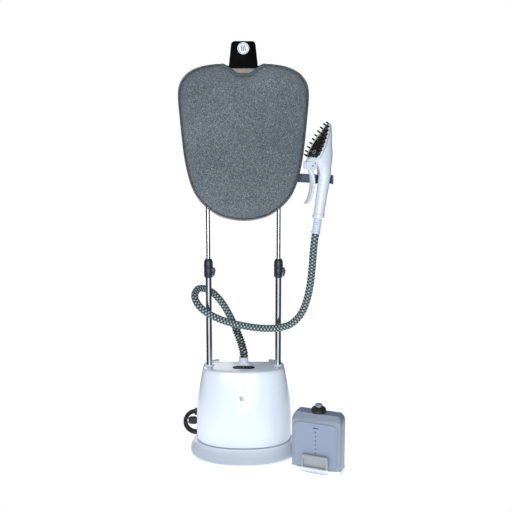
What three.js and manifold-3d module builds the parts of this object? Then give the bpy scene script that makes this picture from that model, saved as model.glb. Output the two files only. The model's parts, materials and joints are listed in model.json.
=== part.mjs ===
// A garment steamer: a low base with a tall body and a rear bay for the water tank, two telescopic
// poles that carry a padded ironing board, a steam hose and an iron-shaped handset in a side holder.
// Units are millimetres. +Z is up, the front faces -Y, and the origin lies on the floor midway
// between the two poles.
import * as THREE from 'three';
import { mergeVertices } from 'three/addons/utils/BufferGeometryUtils.js';
import Module from 'manifold-3d';

const wasm = await Module();
wasm.setup();

// ---------------------------------------------------------------- driving sizes

const gap = 0.3; // between pieces that touch

const poleSpacing = 230;
const poleX = poleSpacing / 2;
const lowerTubeRadius = 9.5;
const lowerTubeWall = 1.2;
const lowerTubeTop = 646;
const upperTubeRadius = 6.5;
const upperTubeWall = 1;
const upperTubeBottom = 440;
const socketDepth = 12;
const socketWall = 4.7;

const footHeight = 5;
const footRadius = 13;
const footX = 128;
const footY = 92;

const bodyHalfWidth = poleX + 45;
const bodyHalfDepth = 110;
const bodyBottom = 48.5;
const bodyTop = 298.5;
const bodyWall = 3;
const lidDepth = 10;
const lidBottom = bodyTop - lidDepth;

const baseHalfWidth = bodyHalfWidth + 22;
const baseFront = bodyHalfDepth + 67;
const baseBack = bodyHalfDepth + 40;
const baseDeck = 46;
const baseWall = 3;
const coverHalfWidth = 118;
const coverHalfDepth = 94;
const coverThickness = 2.5;

const bayHalfWidth = poleX - 30;
const bayFront = 39.5;
const bayFloor = 87;
const bayWall = 2.5;

const displayHalfWidth = 36.5;
const displayHalfDepth = 15.5;
const displayY = -23;

const boilerRadius = 40;
const boilerY = -12;
const boilerTop = 128;
const pumpX = 68;
const pumpZ = baseDeck + 17;

const clampWall = 5;
const clampRadius = lowerTubeRadius + clampWall;
const clampCover = 16; // how far the clamp reaches above the lower tube
const clampHeight = 62;
const clampTop = lowerTubeTop + clampCover;
const clampBottom = clampTop - clampHeight;
const clampSplit = clampBottom + 31.5;
const clampLeverHeight = 26;
const clampLeverHalfWidth = 5.5;
const lugHalfWidth = clampLeverHalfWidth + 4;

const boardCentreX = 2;
const boardHalfWidth = 204;
const boardBottom = 793;
const boardHeight = 491;
const boardTop = boardBottom + boardHeight;
const panelBack = -20;
const panelThickness = 5;
const padThickness = 15;
const padOverhang = 7;
const notchHalfWidth = 66;
const notchFloorHalfWidth = 34;
const notchDepth = 31;

const headBottom = boardTop - 14;
const headTop = headBottom + 82;
const headBottomHalfWidth = 46;
const headTopHalfWidth = 37;
const headFront = -37;
const headBack = 13;
const headCorner = 12;
const badgeRadius = 18;
const badgeThickness = 2;
const badgeZ = headTop - 22;

const bridgeHalfWidth = poleX + 15;
const bridgeHeight = 26;
const bridgeDepth = 22;
const lowerBridgeBottom = boardBottom + 75;
const upperTubeTop = headBottom - 12;

const handleRadius = 17.5;
const holderBottom = 914;
const holderHeight = 27;
const clipRadius = upperTubeRadius + 5.5;
const cradleCentre = new THREE.Vector2(poleX + 139.5, -70);
const cradleInner = handleRadius + 7.5;
const cradleWall = 4.5;

const hoseRadius = 12;
const guardRadius = hoseRadius + 2;
const guardLength = 104;
const collarY = 8.6;
const collarRadius = hoseRadius + 3;
const collarHeight = 27;
const collarBore = 10;

const handsetPivot = new THREE.Vector3(poleX + 114.4, -85, 759);
const handsetYaw = THREE.MathUtils.degToRad(-60);
const handleLean = THREE.MathUtils.degToRad(10);
const cuffLength = 48;
const cuffRadius = hoseRadius + 1;
const plateLean = THREE.MathUtils.degToRad(30);
const plateBase = new THREE.Vector3(0, -15, 245);
const plateHalfWidth = 31;
const plateLength = 108;
const frameMargin = 7.5;
const frameThickness = 6;
const bristleCount = 24;
const bristleLength = 8;
const bristleRadius = 1.3;
const leverPinY = -22;
const leverPinZ = 214;
const leverPinRadius = 2;
const leverHalfWidth = 7;
const switchZ = 192;
const switchHalfWidth = 5;
const switchHalfHeight = 8;

const cordRadius = 3.2;
const coilOuter = 46;
const coilInner = 31;
const coilDepth = 17;
const coilCentre = new THREE.Vector3(10 - baseHalfWidth, 130, coilOuter + 2);
const glandX = -58;
const glandZ = 66;
const glandRadius = 6.5;
const glandStart = 94;
const glandLength = 36;

const tankHalfWidth = bayHalfWidth - 3;
const tankHalfDepth = 29;
const tankBaseHeight = 20;
const tankTop = 198;
const tankWall = 2.5;
const tankBulge = 13;
const tankNeckRadius = 19;
const capRadius = tankNeckRadius + 3.5;
const capHeight = 16;
const capCrown = 9;
const valveRadius = 7;
const gripHalfWidth = 44;
const gripFront = -tankHalfDepth - 11;
const gripTop = 66;
const tankPlace = new THREE.Vector3(baseHalfWidth + tankHalfWidth - 23.5, -168, 0);
const tankYaw = THREE.MathUtils.degToRad(-22.2);

const wellRadius = capRadius + 4.5;
const wellDepth = 33;
const wellY = 72;

const wide = 2000; // larger than any piece, for cutting tools

// ---------------------------------------------------------------- materials

function paint(color, roughness, metalness = 0) {
  return new THREE.MeshStandardMaterial({ color, roughness, metalness });
}

const whitePlastic = () => paint(0xe8eef6, 0.25);
const greyPlastic = () => paint(0xb9bfca, 0.4);
const slatePlastic = () => paint(0x31414c, 0.45);
const barPlastic = () => paint(0x4c5d70, 0.45);
const blackGloss = () => paint(0x050505, 0.1);
const blackRubber = () => paint(0x15151a, 0.8);
const chromeSteel = () => paint(0xc8ccd0, 0.12, 1);
const boardFabric = () => paint(0x76808a, 0.95);
const beigeBoard = () => paint(0xb4ae9e, 0.7);
const darkPlate = () => paint(0x1a1e22, 0.3, 0.6);
const tankPlastic = () => paint(0x9fb0c4, 0.15);
const hoseBraid = () => paint(0x4b5a5c, 0.7);
const bareMetal = () => paint(0x9a9c9e, 0.35, 1);
const greenBoard = () => paint(0x1f5a3a, 0.6);
const paleCuff = () => paint(0xdaeafb, 0.5);

// ---------------------------------------------------------------- geometry helpers

function signedVolume(geometry) {
  const position = geometry.getAttribute('position');
  const index = geometry.getIndex();
  const corner = (k) => new THREE.Vector3().fromBufferAttribute(position, index.getX(k));
  let volume = 0;
  for (let k = 0; k < index.count; k += 3) {
    volume += corner(k).dot(corner(k + 1).cross(corner(k + 2))) / 6;
  }
  return volume;
}

// Merges shared corners and turns the faces outwards.
function closed(geometry) {
  const bare = geometry.clone();
  bare.deleteAttribute('normal');
  bare.deleteAttribute('uv');
  const merged = mergeVertices(bare, 1e-4);
  if (signedVolume(merged) < 0) {
    const index = merged.getIndex();
    for (let k = 0; k < index.count; k += 3) {
      const first = index.getX(k);
      index.setX(k, index.getX(k + 1));
      index.setX(k + 1, first);
    }
  }
  return merged;
}

function solid(geometry) {
  const merged = closed(geometry);
  return new wasm.Manifold(new wasm.Mesh({
    numProp: 3,
    vertProperties: new Float32Array(merged.getAttribute('position').array),
    triVerts: new Uint32Array(merged.getIndex().array),
  }));
}

function fromSolid(manifold) {
  const mesh = manifold.getMesh();
  const geometry = new THREE.BufferGeometry();
  geometry.setAttribute('position', new THREE.BufferAttribute(mesh.vertProperties, 3));
  geometry.setIndex(new THREE.BufferAttribute(mesh.triVerts, 1));
  return geometry;
}

function cut(geometry, ...tools) {
  return fromSolid(tools.reduce((rest, tool) => rest.subtract(solid(tool)), solid(geometry)));
}

function join(geometry, ...others) {
  return fromSolid(others.reduce((sum, other) => sum.add(solid(other)), solid(geometry)));
}

function common(geometry, other) {
  return fromSolid(solid(geometry).intersect(solid(other)));
}

function box(x0, x1, y0, y1, z0, z1) {
  const geometry = new THREE.BoxGeometry(x1 - x0, y1 - y0, z1 - z0);
  return geometry.translate((x0 + x1) / 2, (y0 + y1) / 2, (z0 + z1) / 2);
}

// A straight round bar from one point to another.
function rod(radius, from, to, sides = 20) {
  const axis = to.clone().sub(from);
  const geometry = new THREE.CylinderGeometry(radius, radius, axis.length(), sides);
  const turn = new THREE.Quaternion().setFromUnitVectors(
    new THREE.Vector3(0, 1, 0), axis.clone().normalize());
  geometry.applyQuaternion(turn);
  return geometry.translate(...from.clone().add(to).multiplyScalar(0.5).toArray());
}

function upright(radius, x, y, z0, z1, sides = 24) {
  return rod(radius, new THREE.Vector3(x, y, z0), new THREE.Vector3(x, y, z1), sides);
}

// A piece turned about the Z axis: the profile is a list of [radius, height].
function turned(profile, sides = 24) {
  const points = profile.map(([radius, height]) => new THREE.Vector2(radius, height));
  return new THREE.LatheGeometry(points, sides).rotateX(Math.PI / 2);
}

function tubeRing(outer, inner, z0, z1, sides = 24) {
  return turned([[inner, z0], [outer, z0], [outer, z1], [inner, z1], [inner, z0]], sides);
}

function flatShape(points) {
  return new THREE.Shape(points.map(([x, y]) => new THREE.Vector2(x, y)));
}

// Extrudes a shape drawn in the XY plane from z0 to z1, with an optional rounded edge inside it.
function slab(shape, z0, z1, edge = 0, curveSegments = 8) {
  const geometry = new THREE.ExtrudeGeometry(shape, {
    depth: z1 - z0 - 2 * edge,
    bevelEnabled: edge > 0,
    bevelThickness: edge,
    bevelSize: edge,
    bevelOffset: -edge,
    bevelSegments: 2,
    curveSegments,
  });
  return geometry.translate(0, 0, z0 + edge);
}

// Turns a slab drawn in the XY plane so that its outline stands in the XZ plane.
// The slab's z0..z1 become -y0..-y1.
function standing(geometry) {
  return geometry.rotateX(Math.PI / 2);
}

function roundedRectangle(halfX, halfY, radius) {
  const shape = new THREE.Shape();
  shape.moveTo(-halfX + radius, -halfY);
  shape.lineTo(halfX - radius, -halfY);
  shape.absarc(halfX - radius, -halfY + radius, radius, -Math.PI / 2, 0);
  shape.lineTo(halfX, halfY - radius);
  shape.absarc(halfX - radius, halfY - radius, radius, 0, Math.PI / 2);
  shape.lineTo(-halfX + radius, halfY);
  shape.absarc(-halfX + radius, halfY - radius, radius, Math.PI / 2, Math.PI);
  shape.lineTo(-halfX, -halfY + radius);
  shape.absarc(-halfX + radius, -halfY + radius, radius, Math.PI, Math.PI * 1.5);
  return shape;
}

// One ring of a loft: a superellipse with its own front and back depths.
function ellipseRing(halfWidth, front, back, power, count) {
  const ring = [];
  for (let k = 0; k < count; k += 1) {
    const angle = (k / count) * Math.PI * 2;
    const c = Math.cos(angle);
    const s = Math.sin(angle);
    const depth = s < 0 ? front : back;
    ring.push([
      halfWidth * Math.sign(c) * Math.abs(c) ** (2 / power),
      depth * Math.sign(s) * Math.abs(s) ** (2 / power),
    ]);
  }
  return ring;
}

// A closed skin over rings of equal length, with a fan on the first and on the last ring.
function skin(rings) {
  const count = rings[0].length;
  const positions = rings.flat(2);
  const centre = (ring) => [0, 1, 2].map(
    (axis) => ring.reduce((sum, point) => sum + point[axis], 0) / count);
  positions.push(...centre(rings[0]), ...centre(rings[rings.length - 1]));
  const firstCentre = rings.length * count;
  const lastCentre = firstCentre + 1;
  const lastRing = (rings.length - 1) * count;
  const index = [];
  for (let k = 0; k < count; k += 1) {
    const next = (k + 1) % count;
    index.push(firstCentre, next, k);
    index.push(lastCentre, lastRing + k, lastRing + next);
    for (let row = 0; row < rings.length - 1; row += 1) {
      const low = row * count;
      const high = low + count;
      index.push(low + k, low + next, high + next, low + k, high + next, high + k);
    }
  }
  const geometry = new THREE.BufferGeometry();
  geometry.setAttribute('position', new THREE.Float32BufferAttribute(positions, 3));
  geometry.setIndex(index);
  return geometry;
}

// A loft through level superellipses given as [z, half width, front, back, power].
function levelLoft(sections, count = 32) {
  return skin(sections.map(([z, halfWidth, front, back, power]) =>
    ellipseRing(halfWidth, front, back, power, count).map(([x, y]) => [x, y, z])));
}

function inset(sections, wall) {
  return sections.map(([z, halfWidth, front, back, power]) =>
    [z, halfWidth - wall, front - wall, back - wall, power]);
}

// The part of a list of sections between two heights, with ends made by interpolation.
function between(sections, low, high) {
  const at = (z) => {
    const above = sections.findIndex((section) => section[0] >= z);
    const b = sections[Math.max(above, 1)];
    const a = sections[Math.max(above, 1) - 1];
    const share = (z - a[0]) / (b[0] - a[0]);
    return a.map((value, k) => value + (b[k] - value) * share);
  };
  return [at(low), ...sections.filter(([z]) => z > low + 0.5 && z < high - 0.5), at(high)];
}

// A stretch of a longer curve, from one share of its length to another.
class Stretch extends THREE.Curve {
  constructor(curve, from, to) {
    super();
    this.curve = curve;
    this.from = from;
    this.to = to;
  }

  getPoint(share, target = new THREE.Vector3()) {
    return this.curve.getPointAt(this.from + (this.to - this.from) * share, target);
  }
}

function tubeAlong(curve, radius, steps, sides = 10) {
  const section = flatShape(Array.from({ length: sides }, (_, k) => {
    const angle = (k / sides) * Math.PI * 2;
    return [radius * Math.cos(angle), radius * Math.sin(angle)];
  }));
  return new THREE.ExtrudeGeometry(section, { steps, bevelEnabled: false, extrudePath: curve });
}

function route(points) {
  return new THREE.CatmullRomCurve3(points.map((point) => new THREE.Vector3(...point)), false,
    'centripetal');
}

const steamer = new THREE.Group();

function piece(parent, name, geometry, material) {
  const mesh = new THREE.Mesh(closed(geometry), material);
  mesh.name = name;
  parent.add(mesh);
  return mesh;
}

// ---------------------------------------------------------------- base

const baseOutline = [
  [footHeight + gap, baseHalfWidth - 9, baseFront - 9, baseBack - 9, 2.35],
  [9, baseHalfWidth - 3, baseFront - 3, baseBack - 3, 2.35],
  [14, baseHalfWidth, baseFront, baseBack, 2.35],
  [20, baseHalfWidth - 1, baseFront - 1, baseBack - 1, 2.35],
  [25, baseHalfWidth - 5, baseFront - 10, baseBack - 7, 2.32],
  [31, baseHalfWidth - 12, baseFront - 34, baseBack - 20, 2.3],
  [38, baseHalfWidth - 17, baseFront - 56, baseBack - 31, 2.28],
  [baseDeck, bodyHalfWidth + 3, bodyHalfDepth + 4, bodyHalfDepth + 4, 2.25],
];

function superellipseShape(halfWidth, halfDepth, power, count = 40) {
  return flatShape(ellipseRing(halfWidth, halfDepth, halfDepth, power, count));
}

function socket(x) {
  return tubeRing(lowerTubeRadius + gap + socketWall, lowerTubeRadius + gap, baseDeck - 1,
    baseDeck + socketDepth).translate(x, 0, 0);
}

function baseShell() {
  const low = footHeight + gap + baseWall;
  const hollow = levelLoft(inset(between(baseOutline, low, baseDeck - baseWall), baseWall));
  const mouth = slab(superellipseShape(coverHalfWidth + gap, coverHalfDepth + gap, 2.4),
    0, low + 1);
  return join(cut(levelLoft(baseOutline), hollow, mouth), socket(-poleX), socket(poleX));
}

function bottomCover() {
  return slab(superellipseShape(coverHalfWidth, coverHalfDepth, 2.4), footHeight + gap,
    footHeight + gap + coverThickness);
}

function foot(x, y) {
  return turned([[0, 0], [footRadius - 1, 0], [footRadius, 1], [footRadius, footHeight],
    [0, footHeight]], 16).translate(x, y, 0);
}

piece(steamer, 'base_shell', baseShell(), whitePlastic());
piece(steamer, 'base_underside_cover', bottomCover(), greyPlastic());
for (const [label, x, y] of [
  ['front_left', -footX, -footY], ['front_right', footX, -footY],
  ['rear_left', -footX, footY], ['rear_right', footX, footY],
]) {
  piece(steamer, `foot_${label}`, foot(x, y), blackRubber());
}

// ---------------------------------------------------------------- body and tank bay

// The body below its lid as [share of the height, side inset, front inset, back inset, power].
const bodySections = [
  [0, 2.5, 2.5, 2.5, 2.25],
  [0.0229, 0, 0, 0, 2.25],
  [0.3438, 0.5, 6, 2, 2.35],
  [0.5771, 4, 13, 6, 2.5],
  [0.7979, 13, 24, 14, 2.7],
  [0.9438, 20, 34.5, 21, 2.9],
  [1, 22.5, 39, 24, 3],
];

// The lid's rounded edge as [depth below the top, side inset, front inset, back inset, power].
const lidSections = [
  [4, 24, 40.5, 25.5, 3],
  [1.5, 26.5, 43, 28, 3],
  [0, 31, 47.5, 32.5, 3],
];

function bodySection(z, [side, front, back, power]) {
  return [z, bodyHalfWidth - side, bodyHalfDepth - front, bodyHalfDepth - back, power];
}

const bodyOutline = [
  ...bodySections.map(([share, ...insets]) =>
    bodySection(bodyBottom + share * (lidBottom - bodyBottom), insets)),
  ...lidSections.map(([depth, ...insets]) => bodySection(bodyTop - depth, insets)),
];

function bayCut(margin) {
  return box(-bayHalfWidth - margin, bayHalfWidth + margin, bayFront - margin, wide,
    bayFloor - margin, wide);
}

function poleHoles(z0, z1) {
  return [-poleX, poleX].map((x) => upright(lowerTubeRadius + gap, x, 0, z0, z1));
}

// The same sections with the first one lowered and the last one raised.
function overrun(sections, below, above) {
  const copy = sections.map((section) => [...section]);
  copy[0][0] -= below;
  copy[copy.length - 1][0] += above;
  return copy;
}

function bodyShell() {
  const skirt = between(bodyOutline, bodyBottom, lidBottom - gap);
  const inner = levelLoft(overrun(inset(skirt, bodyWall), 1, 1));
  const glandHole = rod(glandRadius + 0.5 + gap, new THREE.Vector3(glandX, 60, glandZ),
    new THREE.Vector3(glandX, 200, glandZ));
  return cut(levelLoft(skirt), inner, bayCut(bayWall + gap), glandHole);
}

function topCover() {
  const outer = levelLoft(between(bodyOutline, lidBottom, bodyTop));
  const under = levelLoft(overrun(
    inset(between(bodyOutline, lidBottom, bodyTop - bodyWall), bodyWall), 1, 0));
  const steamHole = upright(collarBore + 1, 0, collarY, lidBottom - 5, bodyTop + 5);
  const displayPocket = slab(roundedRectangle(displayHalfWidth + gap, displayHalfDepth + gap,
    displayHalfDepth + gap - 0.01), bodyTop - 1.2, bodyTop + 5).translate(0, displayY, 0);
  return cut(outer, under, bayCut(bayWall + gap), steamHole, displayPocket,
    ...poleHoles(lidBottom - 5, bodyTop + 5));
}

function bayLiner() {
  const outer = box(-bayHalfWidth - bayWall, bayHalfWidth + bayWall, bayFront - bayWall, wide,
    bayFloor - bayWall, bodyTop + 20);
  const well = upright(wellRadius + bayWall, 0, wellY, bayFloor - wellDepth - bayWall,
    bayFloor - 1);
  const hollow = box(-bayHalfWidth, bayHalfWidth, bayFront, wide, bayFloor, wide);
  const wellHollow = upright(wellRadius, 0, wellY, bayFloor - wellDepth, bayFloor + 1);
  const limit = levelLoft(inset(between(bodyOutline, bodyBottom, bodyTop), bodyWall + 0.5));
  return common(cut(join(outer, well), hollow, wellHollow), limit);
}

function inletSeat() {
  const floor = bayFloor - wellDepth + gap;
  return turned([[0, floor], [16, floor], [16, floor + 4], [6, floor + 6], [3, floor + 8],
    [3, floor + 17], [0, floor + 17]], 16).translate(0, wellY, 0);
}

function display() {
  return slab(roundedRectangle(displayHalfWidth, displayHalfDepth, displayHalfDepth - 0.01),
    bodyTop - 0.9, bodyTop + 0.6).translate(0, displayY, 0);
}

// The collar's flared foot is wide sideways and narrow towards the display.
function hoseCollar() {
  const z = bodyTop + gap;
  const top = z + collarHeight;
  const r = collarRadius;
  const body = levelLoft([[z, 29, r, r, 2.2], [z + 1.5, 26, r, r, 2.1], [z + 4, 20, r, r, 2],
    [z + 9, 16, r, r, 2], [z + 14, r, r, r, 2], [top, r, r, r, 2]], 28);
  const bore = upright(collarBore, 0, 0, z - 5, top + 5);
  return cut(body, bore).translate(0, collarY, 0);
}

function poleRing(x) {
  const inner = lowerTubeRadius + gap;
  const z = bodyTop + gap;
  return turned([[inner, z], [inner + 6.5, z], [inner + 5, z + 2], [inner + 2, z + 4.5],
    [inner, z + 4.5], [inner, z]]).translate(x, 0, 0);
}

piece(steamer, 'body_shell', bodyShell(), whitePlastic());
piece(steamer, 'top_cover', topCover(), whitePlastic());
piece(steamer, 'tank_bay_liner', bayLiner(), whitePlastic());
piece(steamer, 'water_inlet_seat', inletSeat(), greyPlastic());
piece(steamer, 'display_window', display(), blackGloss());
piece(steamer, 'hose_collar', hoseCollar(), whitePlastic());

// ---------------------------------------------------------------- inside the body

function boiler() {
  const z = baseDeck + gap;
  return turned([[0, z], [boilerRadius, z], [boilerRadius, boilerTop - 12],
    [boilerRadius - 12, boilerTop], [0, boilerTop]]).translate(0, boilerY, 0);
}

function pump() {
  const motor = rod(15, new THREE.Vector3(pumpX, -42, pumpZ),
    new THREE.Vector3(pumpX, -8, pumpZ));
  const block = box(pumpX - 18, pumpX + 18, -10, 14, baseDeck + gap, baseDeck + 36);
  return join(block, motor);
}

function steamPipe() {
  return upright(collarBore - 4, 0, collarY, boilerTop + gap, bodyTop + collarHeight - 6, 12);
}

function feedHose() {
  const seatX = wellRadius + bayWall + 3 * gap;
  const z = pumpZ + 3;
  return tubeAlong(route([[seatX, wellY, z - 4], [52, 66, z - 5], [72, 50, z - 3], [92, 34, z],
    [pumpX - 3, 22, z], [pumpX - 3, 14 + gap, z]]), 3.5, 14, 8);
}

function controlBoard() {
  return box(-42, 42, -46, -4, bodyTop - 26, bodyTop - 24.4);
}

piece(steamer, 'boiler', boiler(), bareMetal());
piece(steamer, 'water_pump', pump(), greyPlastic());
piece(steamer, 'steam_pipe', steamPipe(), bareMetal());
piece(steamer, 'water_feed_hose', feedHose(), greyPlastic());
piece(steamer, 'control_board', controlBoard(), greenBoard());

// ---------------------------------------------------------------- poles and clamps

function lowerTube(x) {
  return tubeRing(lowerTubeRadius, lowerTubeRadius - lowerTubeWall, baseDeck + gap,
    lowerTubeTop).translate(x, 0, 0);
}

function upperTube(x) {
  return tubeRing(upperTubeRadius, upperTubeRadius - upperTubeWall, upperTubeBottom,
    upperTubeTop, 20).translate(x, 0, 0);
}

// The lower half of a pole clamp, with the pocket and lugs of its cam lever on the right.
function clampCollar(x) {
  const bore = lowerTubeRadius + gap;
  const body = turned([[bore, clampBottom], [clampRadius - 2.5, clampBottom],
    [clampRadius, clampBottom + 5], [clampRadius, clampSplit], [bore, clampSplit],
    [bore, clampBottom]]);
  const lugs = box(lowerTubeRadius - 0.5, clampRadius + 6.5, -lugHalfWidth, lugHalfWidth,
    clampSplit - 12, clampSplit);
  const slot = box(clampRadius - 1, 40, -clampLeverHalfWidth - gap, clampLeverHalfWidth + gap,
    clampBottom - 5, clampSplit + 5);
  const tube = upright(bore, 0, 0, clampBottom - 5, clampSplit + 5);
  return cut(join(body, lugs), tube, slot).translate(x, 0, 0);
}

// The upper half of a pole clamp closes from the lower tube down to the upper tube.
function clampCap(x) {
  const bore = lowerTubeRadius + gap;
  const neck = upperTubeRadius + gap;
  const shoulder = lowerTubeTop + gap;
  const low = clampSplit + gap;
  return turned([[bore, low], [clampRadius - 0.5, low], [clampRadius + 0.5, low + 3],
    [clampRadius - 0.5, clampTop - 8], [clampRadius - 4, clampTop], [neck, clampTop],
    [neck, shoulder], [bore, shoulder], [bore, low]]).translate(x, 0, 0);
}

function clampLever(x) {
  const r = clampRadius;
  const top = clampSplit - 2;
  const shape = new THREE.Shape();
  shape.moveTo(r - 0.5, top - 4);
  shape.quadraticCurveTo(r, top, r + 3.5, top);
  shape.quadraticCurveTo(r + 9.5, top - 1, r + 8.5, top - 9);
  shape.quadraticCurveTo(r + 7, top - 18, r + 3.5, top - clampLeverHeight);
  shape.lineTo(r + 1, top - clampLeverHeight);
  shape.lineTo(r - 0.5, top - 12);
  return standing(slab(shape, -clampLeverHalfWidth, clampLeverHalfWidth, 0, 4))
    .translate(x, 0, 0);
}

const mast = new THREE.Group();
steamer.add(mast);
for (const [label, x] of [['left', -poleX], ['right', poleX]]) {
  piece(steamer, `pole_ring_${label}`, poleRing(x), whitePlastic());
  piece(steamer, `lower_tube_${label}`, lowerTube(x), chromeSteel());
  piece(steamer, `clamp_collar_${label}`, clampCollar(x), slatePlastic());
  piece(steamer, `clamp_cap_${label}`, clampCap(x), slatePlastic());
  piece(steamer, `clamp_lever_${label}`, clampLever(x), slatePlastic());
  piece(mast, `upper_tube_${label}`, upperTube(x), chromeSteel());
}

// ---------------------------------------------------------------- board, bridges and head

// Half of the board's outline from its shoulder down to its lowest point, as [share of the half
// width, share of the height].
const boardSide = [
  [notchHalfWidth / boardHalfWidth, 1], [0.6225, 0.9837], [0.8333, 0.947], [0.9608, 0.8859],
  [1, 0.8065], [0.9755, 0.6497], [0.9265, 0.4379], [0.8627, 0.2953], [0.7745, 0.1874],
  [0.6373, 0.1079], [0.4118, 0.0367], [0.1961, 0.0081],
];

// The flared notch in the pad's top edge, as the curves that close its outline.
function notchCurves(left, right) {
  const floor = boardTop - notchDepth;
  const point = (x, y) => new THREE.Vector2(x, y);
  return [
    new THREE.CubicBezierCurve(left, point(-notchHalfWidth + 12, left.y - 6),
      point(-notchFloorHalfWidth - 12, floor), point(-notchFloorHalfWidth, floor)),
    new THREE.LineCurve(point(-notchFloorHalfWidth, floor), point(notchFloorHalfWidth, floor)),
    new THREE.CubicBezierCurve(point(notchFloorHalfWidth, floor),
      point(notchFloorHalfWidth + 12, floor), point(notchHalfWidth - 12, right.y - 6), right),
  ];
}

// The board's outline, drawn in by a margin.
function boardShape(margin, notched) {
  const side = boardSide.map(([across, up]) => {
    const shift = Math.sign(0.625 - up) * (Math.abs(up - 0.625) > 0.122 ? margin : 0);
    return new THREE.Vector2(boardHalfWidth * across - margin,
      boardBottom + boardHeight * up + shift);
  });
  const mirrored = (p) => new THREE.Vector2(-p.x, p.y);
  const foot = new THREE.Vector2(0, boardBottom + margin);
  const down = new THREE.SplineCurve([...side, foot, ...side.slice(-2).reverse().map(mirrored)]);
  const right = down.getPoints(40).filter((p) => p.x > 1);
  const left = [...right].reverse().map(mirrored);
  const shape = new THREE.Shape([...right, foot, ...left]);
  if (notched) {
    shape.curves.pop();
    shape.curves.push(...notchCurves(left[left.length - 1], side[0]));
  }
  return shape;
}

function boardPanel() {
  return standing(slab(boardShape(padOverhang, false), -panelBack, -panelBack + panelThickness))
    .translate(boardCentreX, 0, 0);
}

function boardPad() {
  const back = -panelBack + panelThickness + gap;
  return standing(slab(boardShape(0, true), back, back + padThickness, 4))
    .translate(boardCentreX, 0, 0);
}

// A cross bar that holds both upper tubes and carries the board's panel on its front face.
function bridge(bottom) {
  const top = bottom + bridgeHeight;
  const bar = standing(slab(roundedRectangle(bridgeHalfWidth, bridgeHeight / 2, 8),
    -bridgeDepth / 2, bridgeDepth / 2, 0, 4)).translate(0, 0, (bottom + top) / 2);
  const rail = box(-bridgeHalfWidth + 20, bridgeHalfWidth - 20, panelBack + gap,
    -bridgeDepth / 2 + 1, bottom + 5, top - 5);
  const bores = [-poleX, poleX].map((x) => upright(upperTubeRadius + gap, x, 0, bottom - 5,
    Math.min(top + 5, upperTubeTop + gap)));
  return cut(join(bar, rail), ...bores);
}

// The head stands on the top bridge and straddles the top edge of the panel.
function hangerHead() {
  const radius = headCorner;
  const shape = new THREE.Shape();
  shape.moveTo(-headBottomHalfWidth, headBottom);
  shape.lineTo(headBottomHalfWidth, headBottom);
  shape.lineTo(headTopHalfWidth + 1.2, headTop - radius);
  shape.quadraticCurveTo(headTopHalfWidth, headTop, headTopHalfWidth - radius, headTop);
  shape.lineTo(-headTopHalfWidth + radius, headTop);
  shape.quadraticCurveTo(-headTopHalfWidth, headTop, -headTopHalfWidth - 1.2, headTop - radius);
  const block = standing(slab(shape, -headBack, -headFront, 2.5, 6));
  const flange = box(-headBottomHalfWidth - 5, headBottomHalfWidth + 5, headFront - 1,
    panelBack - panelThickness - gap, headBottom, headBottom + 8);
  const panelSlot = box(-wide, wide, panelBack - panelThickness - gap, panelBack + gap,
    headBottom - 5, boardTop - padOverhang + gap);
  return cut(join(block, flange), panelSlot).translate(boardCentreX, 0, 0);
}

function headBadge() {
  const y = headFront - gap;
  return rod(badgeRadius, new THREE.Vector3(boardCentreX, y, badgeZ),
    new THREE.Vector3(boardCentreX, y - badgeThickness, badgeZ), 32);
}

piece(mast, 'top_bridge', bridge(headBottom - gap - bridgeHeight), slatePlastic());
piece(mast, 'lower_bridge', bridge(lowerBridgeBottom), slatePlastic());
piece(mast, 'board_panel', boardPanel(), beigeBoard());
piece(mast, 'board_pad', boardPad(), boardFabric());
piece(mast, 'hanger_head', hangerHead(), blackGloss());
piece(mast, 'head_badge', headBadge(), whitePlastic());

// ---------------------------------------------------------------- handset holder

function holderClip() {
  return tubeRing(clipRadius, upperTubeRadius + gap, holderBottom, holderBottom + holderHeight)
    .translate(poleX, 0, 0);
}

// A flat arm from the pole clip to a fork behind the handle; the fork opens to the front.
function holderCradle() {
  const { x, y } = cradleCentre;
  const outer = cradleInner + cradleWall;
  const arm = flatShape([[poleX + clipRadius + gap, -6], [poleX + clipRadius + gap, 5],
    [x - 72.5, 5], [x - 10, y + outer + 4], [x + 6, y + outer - 2],
    [x - 6, y + cradleInner + 1], [x - 22, y + outer - 4], [x - 76.5, -6]]);
  const fork = new THREE.Shape();
  fork.absarc(x, y, outer, THREE.MathUtils.degToRad(-22), THREE.MathUtils.degToRad(172));
  fork.absarc(x, y, cradleInner, THREE.MathUtils.degToRad(172), THREE.MathUtils.degToRad(-22),
    true);
  const top = holderBottom + holderHeight;
  return join(slab(arm, holderBottom, top), slab(fork, holderBottom, top, 0, 20));
}

piece(mast, 'holder_clip', holderClip(), barPlastic());
piece(mast, 'holder_cradle', holderCradle(), barPlastic());

// ---------------------------------------------------------------- handset

// In the handset's own frame the cuff's free end is the origin, the plate looks towards -Y and
// the handle leans back towards +Y.
const handset = new THREE.Group();
handset.position.copy(handsetPivot);
handset.rotation.z = handsetYaw;
mast.add(handset);

const plateTurn = new THREE.Matrix4().makeRotationX(Math.PI / 2 - plateLean)
  .setPosition(plateBase);

// An iron-shaped outline from its base line to its tip, grown by a margin.
function ironShape(margin) {
  const w = plateHalfWidth + margin;
  const tip = plateLength + margin;
  const shape = new THREE.Shape();
  shape.moveTo(-w + 10, -margin);
  shape.lineTo(w - 10, -margin);
  shape.quadraticCurveTo(w, -margin, w, 10);
  shape.bezierCurveTo(w * 1.02, tip * 0.42, w * 0.58, tip * 0.82, 4, tip - 1);
  shape.quadraticCurveTo(0, tip + 0.5, -4, tip - 1);
  shape.bezierCurveTo(-w * 0.58, tip * 0.82, -w * 1.02, tip * 0.42, -w, 10);
  shape.quadraticCurveTo(-w, -margin, -w + 10, -margin);
  return shape;
}

const bristleSpots = ironShape(frameMargin / 2 + 0.3).getSpacedPoints(bristleCount).slice(1);

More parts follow.
